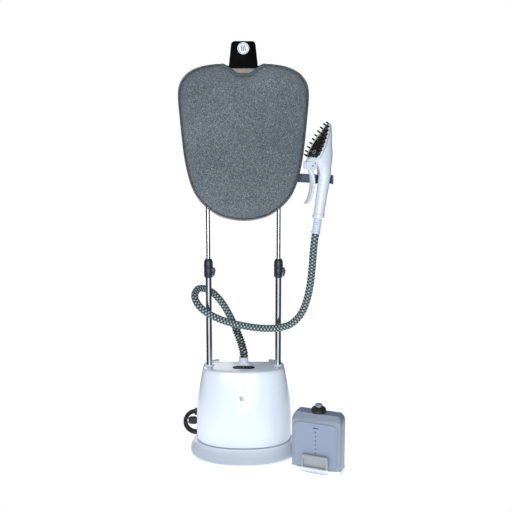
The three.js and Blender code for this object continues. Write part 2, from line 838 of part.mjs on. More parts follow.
function handleAt(z) {
  return Math.tan(handleLean) * Math.min(z, 170) + Math.max(z - 170, 0) * 0.03;
}

const endRing = handleRadius + 1.5;

// Rings of the handle and head as [z, front y, back y, half width, power].
const handsetRings = [
  [cuffLength + 2, handleAt(50) - endRing, handleAt(50) + endRing, endRing, 2],
  [cuffLength + 12, handleAt(60) - endRing, handleAt(60) + endRing, endRing, 2],
  [cuffLength + 14, handleAt(62) - handleRadius + 0.5, handleAt(62) + handleRadius - 0.5,
    handleRadius - 0.5, 2],
  [120, handleAt(120) - handleRadius, handleAt(120) + handleRadius, handleRadius, 2],
  [180, handleAt(180) - 19, handleAt(180) + 21, 18.5, 2],
  [204, 6, 51, 20, 2.1],
  [224, -6, 52, 25, 2.2],
  [240, -20, 51, plateHalfWidth + 3, 2.3],
  [252, -24, 50, plateHalfWidth + 7, 2.3],
  [285, -8, 47, plateHalfWidth + 3, 2.2],
  [312, 12, 50, plateHalfWidth - 6, 2.1],
  [333, 26, 52, 14, 2],
  [347, 36, 49, 5, 2],
];

// A bar across the handset on the squeeze lever's axis.
function pinBar(radius, halfLength) {
  return rod(radius, new THREE.Vector3(-halfLength, leverPinY, leverPinZ),
    new THREE.Vector3(halfLength, leverPinY, leverPinZ), 12);
}

function handsetShell() {
  const body = skin(handsetRings.map(([z, front, back, halfWidth, power]) =>
    ellipseRing(halfWidth, (back - front) / 2, (back - front) / 2, power, 24)
      .map(([x, y]) => [x, y + (front + back) / 2, z])));
  const lug = slab(roundedRectangle(19, 17.5, 6), -12, 12, 2, 3).rotateY(Math.PI / 2)
    .rotateX(Math.PI / 2).translate(0, leverPinY - 1, leverPinZ + 6);
  const slot = box(-leverHalfWidth - gap, leverHalfWidth + gap, -60, leverPinY + 13,
    150, leverPinZ + 13);
  const inFront = box(-wide, wide, -wide, wide, -frameThickness - gap - 1.8, wide)
    .applyMatrix4(plateTurn);
  const above = box(-wide, wide, -wide, wide, plateBase.z - frameMargin - 10, wide);
  const plateSpace = common(inFront, above);
  const switchPocket = box(-switchHalfWidth - gap, switchHalfWidth + gap, -60, switchFace + 5,
    switchZ - switchHalfHeight - gap, switchZ + switchHalfHeight + gap);
  return cut(join(body, lug), slot, pinBar(leverPinRadius + gap, 30), plateSpace, switchPocket);
}

const switchFace = handleAt(switchZ) - 21;

function ironPlate() {
  return slab(ironShape(-gap), -frameThickness, -0.8, 0.8, 5).applyMatrix4(plateTurn);
}

function bristlePins(radius, z0, z1) {
  return bristleSpots.map(({ x, y }) => upright(radius, x, y, z0, z1, 6));
}

function brushFrame() {
  const shape = ironShape(frameMargin);
  shape.holes.push(new THREE.Path(ironShape(0.3).getPoints(5)));
  return cut(slab(shape, -frameThickness, 0, 0, 5), ...bristlePins(bristleRadius + gap, -20, 5))
    .applyMatrix4(plateTurn);
}

function bristleRing() {
  const shape = ironShape(frameMargin - 1.5);
  shape.holes.push(new THREE.Path(ironShape(1).getPoints(4)));
  const low = -frameThickness - gap - 1.5;
  return join(slab(shape, low, -frameThickness - gap, 0, 4),
    ...bristlePins(bristleRadius, low + 0.4, bristleLength)).applyMatrix4(plateTurn);
}

// The squeeze lever hangs from its pin in front of the handle and ends in a flared tip.
function squeezeLever() {
  const shape = new THREE.Shape();
  shape.moveTo(leverPinY + 9, leverPinZ + 4);
  shape.quadraticCurveTo(leverPinY, leverPinZ + 15, leverPinY - 9, leverPinZ + 7);
  shape.quadraticCurveTo(-36, leverPinZ - 10, -26, leverPinZ - 32);
  shape.quadraticCurveTo(-18, leverPinZ - 58, -29, leverPinZ - 90);
  shape.lineTo(-41, leverPinZ - 116);
  shape.lineTo(-33, leverPinZ - 119);
  shape.quadraticCurveTo(-20, leverPinZ - 92, -15, leverPinZ - 60);
  shape.quadraticCurveTo(-13, leverPinZ - 30, leverPinY + 9, leverPinZ + 4);
  const blade = slab(shape, -leverHalfWidth, leverHalfWidth, 1.5, 5);
  const sideways = new THREE.Matrix4().makeBasis(new THREE.Vector3(0, 1, 0),
    new THREE.Vector3(0, 0, 1), new THREE.Vector3(1, 0, 0));
  return cut(blade.applyMatrix4(sideways), pinBar(leverPinRadius + gap, 30));
}

function leverPin() {
  return pinBar(leverPinRadius, 12.5);
}

function steamSwitch() {
  return box(-switchHalfWidth, switchHalfWidth, switchFace - 4, switchFace + 2.5,
    switchZ - switchHalfHeight, switchZ + switchHalfHeight);
}

function hoseCuff() {
  const ribs = 6;
  const pitch = (cuffLength - 6) / ribs;
  const profile = [[0, 0], [cuffRadius + 1.5, 0], [cuffRadius + 1.5, 6]];
  for (let k = 0; k < ribs; k += 1) {
    profile.push([cuffRadius - 1, 6 + pitch * (k + 0.3)], [cuffRadius + 0.6, 6 + pitch * (k + 1)]);
  }
  profile.push([0, cuffLength]);
  return turned(profile, 16).rotateX(-handleLean);
}

piece(handset, 'handset_shell', handsetShell(), whitePlastic());
piece(handset, 'steam_plate', ironPlate(), darkPlate());
piece(handset, 'brush_frame', brushFrame(), whitePlastic());
piece(handset, 'brush_bristles', bristleRing(), blackRubber());
piece(handset, 'squeeze_lever', squeezeLever(), whitePlastic());
piece(handset, 'lever_pin', leverPin(), slatePlastic());
piece(handset, 'steam_switch', steamSwitch(), greyPlastic());
piece(handset, 'hose_cuff', hoseCuff(), paleCuff());

// ---------------------------------------------------------------- steam hose

const cuffAxis = new THREE.Vector3(0, Math.sin(handleLean), Math.cos(handleLean))
  .applyAxisAngle(new THREE.Vector3(0, 0, 1), handsetYaw);
const belowCuff = (distance) => handsetPivot.clone().addScaledVector(cuffAxis, -distance)
  .toArray();
const hoseStart = bodyTop + 2 * gap + collarHeight;
const hoseRoute = route([
  [0, collarY, hoseStart], [0, collarY, hoseStart + 14], [-8, 17, 370], [-24, 28, 411],
  [-40, 34, 447], [-60, 40, 484], [-83, 44, 517], [-107, 46, 540], [-133, 38, 554],
  [-151, 24, 556], [-160, 6, 546], [-160, -10, 533], [-147, -27, 512], [-128, -36, 496],
  [-103, -41, 481], [-71, -44, 467], [-32, -45, 455], [10, -45, 446], [53, -45, 440],
  [96, -45, 439], [128, -47, 444], [152, -50, 453], [177, -55, 476], [194, -61, 505],
  [206, -67, 542], [215, -73, 592], [220, -79, 648], [223, -84, 700],
  belowCuff(22), belowCuff(2 * gap),
]);
const guardShare = guardLength / hoseRoute.getLength();

function hoseGuard() {
  return tubeAlong(new Stretch(hoseRoute, 0, guardShare), guardRadius, 4, 12);
}

function steamHose() {
  const from = guardShare + gap / hoseRoute.getLength();
  return tubeAlong(new Stretch(hoseRoute, from, 1), hoseRadius, 34, 10);
}

piece(steamer, 'hose_guard', hoseGuard(), blackRubber());
piece(steamer, 'steam_hose', steamHose(), hoseBraid());

// ---------------------------------------------------------------- power cord

const coilFront = coilCentre.y - coilDepth / 2;
const coilBack = coilCentre.y + coilDepth / 2;

function cordGland() {
  const r = glandRadius;
  return turned([[0, 0], [r, 0], [r, 14], [r + 3.5, 14], [r + 3.5, 18], [r - 1, glandLength],
    [0, glandLength]], 16).rotateX(-Math.PI / 2).translate(glandX, glandStart, glandZ);
}

// The coil stands on its edge on the floor and leans on the base's rear left shoulder.
function cordCoil() {
  return tubeRing(coilOuter, coilInner, -coilDepth / 2, coilDepth / 2, 28).rotateX(Math.PI / 2)
    .translate(...coilCentre.toArray());
}

function cordLead() {
  const exitY = glandStart + glandLength + gap;
  return tubeAlong(route([[glandX, exitY, glandZ], [glandX, 142, glandZ], [glandX - 2, 160, 60],
    [glandX - 8, 174, 42], [glandX - 20, 178, 20], [glandX - 38, 170, 8], [-118, 151, 4],
    [-135, 137, 3.6], [-148, 131, 3.5]]), cordRadius, 22, 8);
}

function cordTie() {
  const { x, z } = coilCentre;
  const grip = 1.5 + gap;
  const top = z + coilOuter;
  const low = z + coilInner - 1.5;
  return cut(
    box(x - 5, x + 5, coilFront - grip, coilBack + grip, low - grip, top + grip),
    box(x - 6, x + 6, coilFront - gap, coilBack + gap, low - gap, top + gap),
  );
}

// A moulded plug with two round pins, lying across the coil's left side.
function powerPlug() {
  const y = coilFront - gap - 10;
  const z = coilCentre.z + 12;
  const left = coilCentre.x - coilOuter + 2;
  const body = skin([[0, 8, 6], [5, 13, 9], [24, 14, 9.5], [34, 8, 7], [40, 5, 5]]
    .map(([along, halfZ, halfY]) => ellipseRing(halfY, halfZ, halfZ, 2.6, 16)
      .map(([a, b]) => [left + 18 + along, y + a, z + b])));
  const pins = [-8, 8].map((dz) => rod(2.2, new THREE.Vector3(left, y, z + dz * 0.9),
    new THREE.Vector3(left + 24, y, z + dz * 0.9), 10));
  return join(body, ...pins);
}

piece(steamer, 'cord_gland', cordGland(), blackRubber());
piece(steamer, 'power_cord', cordLead(), blackRubber());
piece(steamer, 'cord_coil', cordCoil(), blackRubber());
piece(steamer, 'cord_tie', cordTie(), blackRubber());
piece(steamer, 'power_plug', powerPlug(), blackRubber());

// ---------------------------------------------------------------- water tank

// The tank stands on the floor beside the base, cap up; in use it is turned over into the bay.
const tank = new THREE.Group();
tank.position.copy(tankPlace);
tank.rotation.z = tankYaw;
steamer.add(tank);

// The outline of the tank's white end, with a curved outer face.
function tankBase() {
  const shape = new THREE.Shape();
  const w = tankHalfWidth + 1;
  shape.moveTo(-w + 4, tankHalfDepth + 1);
  shape.quadraticCurveTo(-w, tankHalfDepth + 1, -w, tankHalfDepth - 3);
  shape.lineTo(-w, -tankHalfDepth + 3);
  shape.quadraticCurveTo(0, -tankHalfDepth - 2 * tankBulge, w, -tankHalfDepth + 3);
  shape.lineTo(w, tankHalfDepth - 3);
  shape.quadraticCurveTo(w, tankHalfDepth + 1, w - 4, tankHalfDepth + 1);
  const scoop = box(-gripHalfWidth - gap, gripHalfWidth + gap, -wide, gripFront + 9,
    7, wide);
  return cut(slab(shape, 0, tankBaseHeight, 1.5, 10), scoop);
}

function tankOutline(shrink) {
  const w = tankHalfWidth - shrink;
  const top = tankTop - shrink;
  const low = tankBaseHeight + gap + shrink;
  return flatShape([[-w, low], [w, low], [w, top - 14], [w - 12, top], [-w + 12, top],
    [-w, top - 14]]);
}

function tankShell() {
  const outer = standing(slab(tankOutline(0), -tankHalfDepth, tankHalfDepth, 5));
  const inner = standing(slab(tankOutline(tankWall), -tankHalfDepth + tankWall,
    tankHalfDepth - tankWall, 4));
  const neck = upright(tankNeckRadius, 0, 0, tankTop - 1, tankTop + capHeight - capCrown - 2);
  const bore = upright(tankNeckRadius - 3, 0, 0, tankTop - 20, tankTop + 20);
  return cut(join(outer, neck), inner, bore);
}

// A grip with a finger pocket on the outer face, just above the white end.
function tankGrip() {
  const back = -tankHalfDepth - gap;
  const low = tankBaseHeight + gap;
  const block = standing(slab(roundedRectangle(gripHalfWidth, (gripTop - low) / 2, 8),
    -back, -gripFront, 2, 4)).translate(0, 0, (gripTop + low) / 2);
  const pocket = box(-gripHalfWidth + 6, gripHalfWidth - 6, gripFront - 5, back - 2.5,
    low + 5, gripTop - 12);
  return cut(block, pocket);
}

function tankCap() {
  const low = tankTop + gap;
  const inner = tankNeckRadius + gap;
  const top = low + capHeight;
  const hole = valveRadius + gap;
  return turned([[inner, low], [capRadius, low], [capRadius, top - 3], [capRadius - 3, top],
    [hole, top], [hole, top - capCrown], [inner, top - capCrown], [inner, low]]);
}

function tankValve() {
  const top = tankTop + gap + capHeight;
  const r = valveRadius;
  return turned([[0, top - 16], [r + 3, top - 16], [r + 3, top - 14], [r, top - 12], [r, top + 5],
    [r + 5, top + 5], [r + 5.5, top + 8], [r + 3, top + 11], [0, top + 12]], 16);
}

piece(tank, 'tank_base', tankBase(), whitePlastic());
piece(tank, 'tank_shell', tankShell(), tankPlastic());
piece(tank, 'tank_grip', tankGrip(), beigeBoard());
piece(tank, 'tank_cap', tankCap(), blackRubber());
piece(tank, 'tank_valve', tankValve(), tankPlastic());

export default steamer;
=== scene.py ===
"""Visual model of a garment steamer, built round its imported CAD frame. Units are metres."""
import json
import math
import random

import bpy
import numpy as np
from mathutils import Matrix, Vector


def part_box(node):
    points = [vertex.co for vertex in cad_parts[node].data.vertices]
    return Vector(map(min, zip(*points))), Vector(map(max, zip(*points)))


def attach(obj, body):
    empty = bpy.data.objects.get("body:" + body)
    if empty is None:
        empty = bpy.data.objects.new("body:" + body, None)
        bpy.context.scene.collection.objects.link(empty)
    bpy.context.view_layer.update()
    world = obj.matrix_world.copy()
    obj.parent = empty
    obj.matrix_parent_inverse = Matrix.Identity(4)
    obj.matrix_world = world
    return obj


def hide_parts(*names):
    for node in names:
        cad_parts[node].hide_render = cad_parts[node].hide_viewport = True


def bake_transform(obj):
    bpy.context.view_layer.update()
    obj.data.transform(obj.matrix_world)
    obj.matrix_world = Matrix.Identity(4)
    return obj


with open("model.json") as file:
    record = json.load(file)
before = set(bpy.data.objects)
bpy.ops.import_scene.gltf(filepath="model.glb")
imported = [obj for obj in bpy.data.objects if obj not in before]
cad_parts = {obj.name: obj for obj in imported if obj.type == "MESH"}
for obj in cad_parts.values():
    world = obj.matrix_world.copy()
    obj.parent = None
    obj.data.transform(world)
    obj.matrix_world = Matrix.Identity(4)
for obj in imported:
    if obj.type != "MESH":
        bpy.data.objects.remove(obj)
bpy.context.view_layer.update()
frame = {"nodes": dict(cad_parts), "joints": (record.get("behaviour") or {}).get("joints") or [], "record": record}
nodes = frame["nodes"]
random.seed(7)
MM = 0.001

# ------------------------------------------------------------------ camera


CAMERA_PLACE = (0.0413, -2.6, 1.1389)
CAMERA_LENS = 56.66
CAMERA_TILT_DOWN = math.radians(10.19)


def add_camera():
    data = bpy.data.cameras.new("camera")
    data.sensor_width = 36
    data.lens = CAMERA_LENS
    data.clip_end = 50
    camera = bpy.data.objects.new("camera", data)
    camera.location = CAMERA_PLACE
    camera.rotation_euler = (math.pi / 2 - CAMERA_TILT_DOWN, 0, 0)
    bpy.context.scene.collection.objects.link(camera)
    bpy.context.scene.camera = camera


add_camera()

# ------------------------------------------------------------------ mesh helpers


def link_mesh(name, vertices, faces, smooth=True):
    mesh = bpy.data.meshes.new(name)
    mesh.from_pydata([tuple(v) for v in vertices], [], faces)
    mesh.update()
    mesh.polygons.foreach_set("use_smooth", [smooth] * len(mesh.polygons))
    piece = bpy.data.objects.new(name, mesh)
    bpy.context.scene.collection.objects.link(piece)
    return piece


def apply_modifiers(piece):
    bpy.context.view_layer.update()
    graph = bpy.context.evaluated_depsgraph_get()
    mesh = bpy.data.meshes.new_from_object(piece.evaluated_get(graph))
    old = piece.data
    piece.modifiers.clear()
    piece.data = mesh
    bpy.data.meshes.remove(old)


def finish_piece(piece, body, material, replaces=()):
    """Gives a made piece its material, the body that carries it and the CAD nodes it hides."""
    piece.data.materials.clear()
    piece.data.materials.append(material)
    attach(piece, body)
    if replaces:
        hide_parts(*replaces)
    return piece


def smooth_route(points, step):
    """A centripetal Catmull-Rom curve through the points, resampled at an even step."""
    control = [Vector(p) for p in points]
    control = [2 * control[0] - control[1]] + control + [2 * control[-1] - control[-2]]
    dense = []
    for p0, p1, p2, p3 in zip(control, control[1:], control[2:], control[3:]):
        t0 = 0.0
        t1 = t0 + (p1 - p0).length ** 0.5
        t2 = t1 + (p2 - p1).length ** 0.5
        t3 = t2 + (p3 - p2).length ** 0.5
        for k in range(24):
            t = t1 + (t2 - t1) * k / 24
            a1 = p0.lerp(p1, (t - t0) / (t1 - t0))
            a2 = p1.lerp(p2, (t - t1) / (t2 - t1))
            a3 = p2.lerp(p3, (t - t2) / (t3 - t2))
            b1 = a1.lerp(a2, (t - t0) / (t2 - t0))
            b2 = a2.lerp(a3, (t - t1) / (t3 - t1))
            dense.append(b1.lerp(b2, (t - t1) / (t2 - t1)))
    dense.append(control[-2])
    return resample(dense, step)


def resample(points, step):
    line = np.array([list(p) for p in points])
    along = np.concatenate([[0], np.cumsum(np.linalg.norm(np.diff(line, axis=0), axis=1))])
    count = max(2, int(round(along[-1] / step)) + 1)
    even = np.linspace(0, along[-1], count)
    return [Vector([float(np.interp(s, along, line[:, axis])) for axis in range(3)]) for s in even]


def path_length(points):
    return sum((b - a).length for a, b in zip(points, points[1:]))


def frames_along(points):
    """A side and an up direction at each point, carried along without twist."""
    tangents = [(b - a).normalized() for a, b in zip(points, points[1:])]
    tangents.append(tangents[-1].copy())
    side = tangents[0].cross(Vector((0.31, 0.87, 0.2))).normalized()
    out = []
    for tangent in tangents:
        side = (side - tangent * side.dot(tangent)).normalized()
        out.append((side.copy(), tangent.cross(side)))
    return out


def wall_faces(rows, count, wrap=False):
    """Quads between each ring of points and the next; wrap joins the last ring to the first."""
    faces = []
    for row in range(rows if wrap else rows - 1):
        here, after = row * count, (row + 1) % rows * count
        for k in range(count):
            beside = (k + 1) % count
            faces.append((here + k, here + beside, after + beside, after + k))
    return faces


def end_faces(rows, count):
    """The two faces that close a stack of rings."""
    return [tuple(reversed(range(count))), tuple(range((rows - 1) * count, rows * count))]


def circle(place, centre, radius, count, across=Vector((1, 0, 0)), up=Vector((0, 1, 0))):
    """A closed ring of points at a local centre; centre and radius are in millimetres."""
    return [place @ ((Vector(centre) + across * radius * math.cos(a) + up * radius * math.sin(a))
                     * MM) for a in np.linspace(0, 2 * math.pi, count)]


def sweep(name, points, radius, sides=16):
    """A round tube with a UV map: u runs round it and v is metres along it.
    radius is a number or a function of (metres along, share of a turn round)."""
    radius_at = radius if callable(radius) else (lambda s, turn: radius)
    vertices, along = [], [0.0]
    for a, b in zip(points, points[1:]):
        along.append(along[-1] + (b - a).length)
    for point, (side, up), s in zip(points, frames_along(points), along):
        for k in range(sides):
            r = radius_at(s, k / sides)
            angle = 2 * math.pi * k / sides
            vertices.append(point + side * r * math.cos(angle) + up * r * math.sin(angle))
    faces = wall_faces(len(points), sides)
    tube_faces = len(faces)
    piece = link_mesh(name, vertices, faces + end_faces(len(points), sides))
    uv = piece.data.uv_layers.new(name="UVMap").data
    for index in range(tube_faces):
        row, k = divmod(index, sides)
        corners = ((k, row), (k + 1, row), (k + 1, row + 1), (k, row + 1))
        for loop, (u, v) in zip(piece.data.polygons[index].loop_indices, corners):
            uv[loop].uv = (u / sides, along[v])
    return piece


def ellipse_ring(half_width, front, back, power, count):
    """A superellipse round the origin; its front and back may be of different depth."""
    ring = []
    for k in range(count):
        c, s = math.cos(2 * math.pi * k / count), math.sin(2 * math.pi * k / count)
        depth = front if s < 0 else back
        ring.append((math.copysign(half_width * abs(c) ** (2 / power), c),
                     math.copysign(depth * abs(s) ** (2 / power), s)))
    return ring


def skin(name, rings):
    """Joins rings of points into a solid that is closed at both ends."""
    rows, count = len(rings), len(rings[0])
    faces = wall_faces(rows, count) + end_faces(rows, count)
    return link_mesh(name, [p for ring in rings for p in ring], faces)


def hoop(name, rings):
    """Joins rings of points into a closed hoop, with the last ring back to the first."""
    faces = wall_faces(len(rings), len(rings[0]), wrap=True)
    return link_mesh(name, [p for ring in rings for p in ring], faces)


# ------------------------------------------------------------------ material helpers


class Shader:
    """A Principled material with short calls for the nodes that feed it."""

    def __init__(self, name, color, roughness, metallic=0.0, **sockets):
        self.material = bpy.data.materials.new(name)
        self.material.use_nodes = True
        self.tree = self.material.node_tree
        self.bsdf = self.tree.nodes["Principled BSDF"]
        self.bsdf.inputs["Base Color"].default_value = (*color, 1)
        self.bsdf.inputs["Roughness"].default_value = roughness
        self.bsdf.inputs["Metallic"].default_value = metallic
        for key, value in sockets.items():
            self.bsdf.inputs[key.replace("_", " ")].default_value = value
        self.place = self.node("ShaderNodeTexCoord").outputs["Object"]

    def node(self, kind, **settings):
        made = self.tree.nodes.new(kind)
        for key, value in settings.items():
            setattr(made, key, value)
        return made

    def join(self, output, socket):
        self.tree.links.new(output, socket)
        return self

    def noise(self, scale, detail=3, stretch=None):
        texture = self.node("ShaderNodeTexNoise")
        texture.inputs["Scale"].default_value = scale
        texture.inputs["Detail"].default_value = detail
        source = self.place
        if stretch:
            mapping = self.node("ShaderNodeMapping")
            mapping.inputs["Scale"].default_value = stretch
            self.join(source, mapping.inputs["Vector"])
            source = mapping.outputs[0]
        self.join(source, texture.inputs["Vector"])
        return texture.outputs["Fac"]

    def math(self, operation, a, b=0.0):
        made = self.node("ShaderNodeMath", operation=operation)
        for socket, value in zip(made.inputs, (a, b)):
            if isinstance(value, (int, float)):
                socket.default_value = value
            else:
                self.join(value, socket)
        return made.outputs[0]

    def ramp(self, value, *stops):
        """stops are (position, colour or grey)."""
        ramp = self.node("ShaderNodeValToRGB")
        elements = ramp.color_ramp.elements
        while len(elements) < len(stops):
            elements.new(0.5)
        for element, (position, color) in zip(elements, stops):
            element.position = position
            element.color = (*color, 1) if hasattr(color, "__len__") else (color,) * 3 + (1,)
        self.join(value, ramp.inputs["Fac"])
        return ramp.outputs["Color"]

    def tint(self, value, low, high):
        """The base colour runs from low to high as value goes from 0.3 to 0.7."""
        return self.join(self.ramp(value, (0.3, low), (0.7, high)), self.bsdf.inputs["Base Color"])

    def rough(self, value, low, high):
        ramp = self.ramp(value, (0.3, low), (0.7, high))
        return self.join(ramp, self.bsdf.inputs["Roughness"])

    def bump(self, height, strength, distance):
        bump = self.node("ShaderNodeBump")
        bump.inputs["Strength"].default_value = strength
        bump.inputs["Distance"].default_value = distance
        previous = self.bsdf.inputs["Normal"].links
        if previous:
            self.join(previous[0].from_socket, bump.inputs["Normal"])
        self.join(height, bump.inputs["Height"])
        return self.join(bump.outputs[0], self.bsdf.inputs["Normal"])


def scaled(color, factor):
    return tuple(min(1.0, channel * factor) for channel in color)


def plastic(name, color, roughness, grain=900, depth=0.05 * MM, spread=0.02, **sockets):
    """Moulded plastic: slow colour drift, a patchy polish and a fine grain."""
    shader = Shader(name, color, roughness, **sockets)
    drift = shader.noise(5, 2)
    shader.tint(drift, scaled(color, 1 - spread), scaled(color, 1 + spread))
    shader.rough(shader.noise(38, 5), roughness * 0.88, min(1, roughness * 1.12))
    shader.bump(shader.noise(grain, 2), 0.25, depth)
    return shader.material


def polished_tube():
    shader = Shader("chrome tube", (0.62, 0.64, 0.67), 0.12, 1.0)
    lines = shader.noise(60, 3, stretch=(40, 40, 0.6))
    shader.rough(lines, 0.07, 0.17)
    shader.tint(shader.noise(14, 3), (0.56, 0.58, 0.61), (0.70, 0.72, 0.75))
    shader.bump(lines, 0.08, 0.02 * MM)
    return shader.material


def cast_metal(name, color, roughness):
    shader = Shader(name, color, roughness, 1.0)
    shader.tint(shader.noise(120, 5), scaled(color, 0.8), scaled(color, 1.15))
    shader.rough(shader.noise(60, 4), roughness * 0.8, roughness * 1.3)
    shader.bump(shader.noise(700, 3), 0.3, 0.08 * MM)
    return shader.material


def plate_coating():
    shader = Shader("coated sole plate", (0.022, 0.021, 0.02), 0.2, 0.75)
    shader.tint(shader.noise(22, 3), (0.012, 0.012, 0.013), (0.05, 0.042, 0.032))
    shader.rough(shader.noise(160, 4), 0.12, 0.3)
    shader.bump(shader.noise(1500, 2), 0.1, 0.02 * MM)
    return shader.material


def rubber(name, color=(0.012, 0.012, 0.014), roughness=0.55):
    shader = Shader(name, color, roughness)
    shader.tint(shader.noise(160, 4), scaled(color, 0.7), scaled(color, 1.7))
    shader.rough(shader.noise(80, 3), roughness * 0.85, min(1, roughness * 1.2))
    shader.bump(shader.noise(1800, 3), 0.3, 0.08 * MM)
    return shader.material


def weave_height(shader, pitch):
    """Threads over and under at a pitch in metres, for cloth that lies in the XZ plane."""
    split = shader.node("ShaderNodeSeparateXYZ")
    shader.join(shader.place, split.inputs[0])
    turn = 2 * math.pi / pitch
    across = shader.math("SINE", shader.math("MULTIPLY", split.outputs["X"], turn))
    up = shader.math("SINE", shader.math("MULTIPLY", split.outputs["Z"], turn))
    return shader.math("MULTIPLY", across, up)


def heather_cloth():
    """The board cover: a grey-blue melange with light and dark flecks over a plain weave."""
    shader = Shader("heather cover", (0.17, 0.20, 0.235), 0.92, Sheen_Weight=0.25,
                    Sheen_Roughness=0.5)
    fleck = shader.noise(520, 4, stretch=(1, 1, 0.8))
    cloud = shader.noise(7, 3)
    fine = shader.noise(1300, 2)
    mixed = shader.math("ADD", shader.math("MULTIPLY", fleck, 0.72),
                        shader.math("MULTIPLY", fine, 0.28))
    mixed = shader.math("ADD", mixed, shader.math("MULTIPLY", shader.math("SUBTRACT", cloud, 0.5),
                                                  0.10))
    color = shader.ramp(mixed, (0.38, (0.045, 0.062, 0.078)), (0.47, (0.108, 0.135, 0.155)),
                        (0.55, (0.158, 0.188, 0.208)), (0.64, (0.36, 0.39, 0.40)))
    shader.join(color, shader.bsdf.inputs["Base Color"])
    shader.bump(weave_height(shader, 1.6 * MM), 0.5, 0.25 * MM)
    shader.bump(fleck, 0.45, 0.3 * MM)
    return shader.material


def binding_cloth(name, color):
    shader = Shader(name, color, 0.85, Sheen_Weight=0.15)
    ribs = shader.noise(900, 3)
    shader.tint(ribs, scaled(color, 0.65), scaled(color, 1.4))
    shader.bump(weave_height(shader, 0.9 * MM), 0.6, 0.2 * MM)
    shader.bump(ribs, 0.4, 0.15 * MM)
    return shader.material


BRAID_ROWS = 8
BRAID_PITCH = 11 * MM


def braided_sleeve():
    """The hose cover: dark green-grey yarn with pale stitches in offset rows along it."""
    shader = Shader("braided hose cover", (0.06, 0.09, 0.095), 0.6)
    split = shader.node("ShaderNodeSeparateXYZ")
    shader.join(shader.node("ShaderNodeTexCoord").outputs["UV"], split.inputs[0])
    x = shader.math("MULTIPLY", split.outputs["X"], BRAID_ROWS)
    y = shader.math("MULTIPLY", split.outputs["Y"], 2 / BRAID_PITCH)
    p = shader.math("MULTIPLY", shader.math("ADD", x, y), 0.5)
    q = shader.math("MULTIPLY", shader.math("SUBTRACT", x, y), 0.5)
    joined = shader.node("ShaderNodeCombineXYZ")
    shader.join(p, joined.inputs[0]).join(q, joined.inputs[1])
    cells = shader.node("ShaderNodeTexVoronoi", voronoi_dimensions="2D")
    cells.inputs["Scale"].default_value = 1
    cells.inputs["Randomness"].default_value = 0
    shader.join(joined.outputs[0], cells.inputs["Vector"])
    distance = cells.outputs["Distance"]
    yarn = shader.noise(1500, 3)
    jitter = shader.math("MULTIPLY", shader.math("SUBTRACT", yarn, 0.5), 0.08)
    shade = shader.math("ADD", distance, jitter)
    color = shader.ramp(shade, (0.12, (0.70, 0.80, 0.76)), (0.21, (0.21, 0.30, 0.32)),
                        (0.40, (0.095, 0.150, 0.165)), (0.53, (0.010, 0.018, 0.024)))
    shader.join(color, shader.bsdf.inputs["Base Color"])
    shader.bump(yarn, 0.4, 0.2 * MM)
    return shader.material


def milky_plastic():
    shader = Shader("milky tank", (0.32, 0.38, 0.47), 0.3, Transmission_Weight=0.1, IOR=1.45)
    shader.tint(shader.noise(12, 3), (0.310, 0.372, 0.462), (0.322, 0.386, 0.478))
    shader.rough(shader.noise(50, 4), 0.3, 0.36)
    shader.bump(shader.noise(900, 3), 0.08, 0.04 * MM)
    return shader.material


WHITE = (0.79, 0.87, 0.955)
materials = {
    "white_shell": plastic("white gloss shell", WHITE, 0.24, Coat_Weight=0.3, Coat_Roughness=0.12),
    "grey_plastic": plastic("grey matte plastic", (0.36, 0.38, 0.42), 0.5),
    "slate_plastic": plastic("slate clamp plastic", (0.021, 0.034, 0.052), 0.38, spread=0.12),
    "holder_plastic": plastic("slate blue holder", (0.048, 0.082, 0.128), 0.42, spread=0.1),
    "black_gloss": plastic("black gloss", (0.001, 0.001, 0.0014), 0.42, spread=0.3,
                           Specular_IOR_Level=0.03),
    "black_rubber": rubber("black rubber"),
    "chrome": polished_tube(),
    "pad_fabric": heather_cloth(),
    "beige_board": plastic("beige panel", (0.40, 0.385, 0.33), 0.7, grain=300, depth=0.15 * MM),
    "plate_metal": plate_coating(),
    "boiler_metal": cast_metal("cast boiler", (0.42, 0.42, 0.43), 0.45),
    "pipe_metal": cast_metal("brass pipe", (0.55, 0.42, 0.2), 0.35),
    "circuit_board": plastic("circuit board", (0.02, 0.12, 0.05), 0.45, spread=0.3),
    "hose_braid": braided_sleeve(),
    "cuff_plastic": plastic("pale blue cuff", (0.68, 0.80, 0.95), 0.42),
    "tank_plastic": milky_plastic(),
    "grip_plastic": plastic("clear grip", (0.34, 0.36, 0.375), 0.3),
}
tank_panel_plastic = plastic("blue tank panel", (0.262, 0.322, 0.435), 0.3, Coat_Weight=0.1,
                             Coat_Roughness=0.1)
navy_piping = binding_cloth("navy piping", (0.020, 0.030, 0.048))
teal_binding = binding_cloth("teal binding", (0.085, 0.125, 0.130))
faint_mark = plastic("pale print", (0.45, 0.48, 0.52), 0.5)
dark_mark = plastic("dark print", (0.05, 0.07, 0.10), 0.45)
brush_black = rubber("brush nylon", (0.006, 0.006, 0.007), 0.4)

# ------------------------------------------------------------------ CAD nodes that stay

# Rounding of the CAD nodes' edges, in millimetres.
BEVELS = {
    "hanger_head": 1.6, "clamp_collar_left": 0.8, "clamp_collar_right": 0.8,
    "clamp_cap_left": 0.8, "clamp_cap_right": 0.8, "clamp_lever_left": 0.9,
    "clamp_lever_right": 0.9, "holder_cradle": 1.2, "holder_clip": 0.8, "steam_switch": 0.8,
    "top_bridge": 1.5, "lower_bridge": 1.5, "display_window": 0.3,
    "tank_grip": 0.8, "tank_bay_liner": 0.8, "water_pump": 0.8,
}


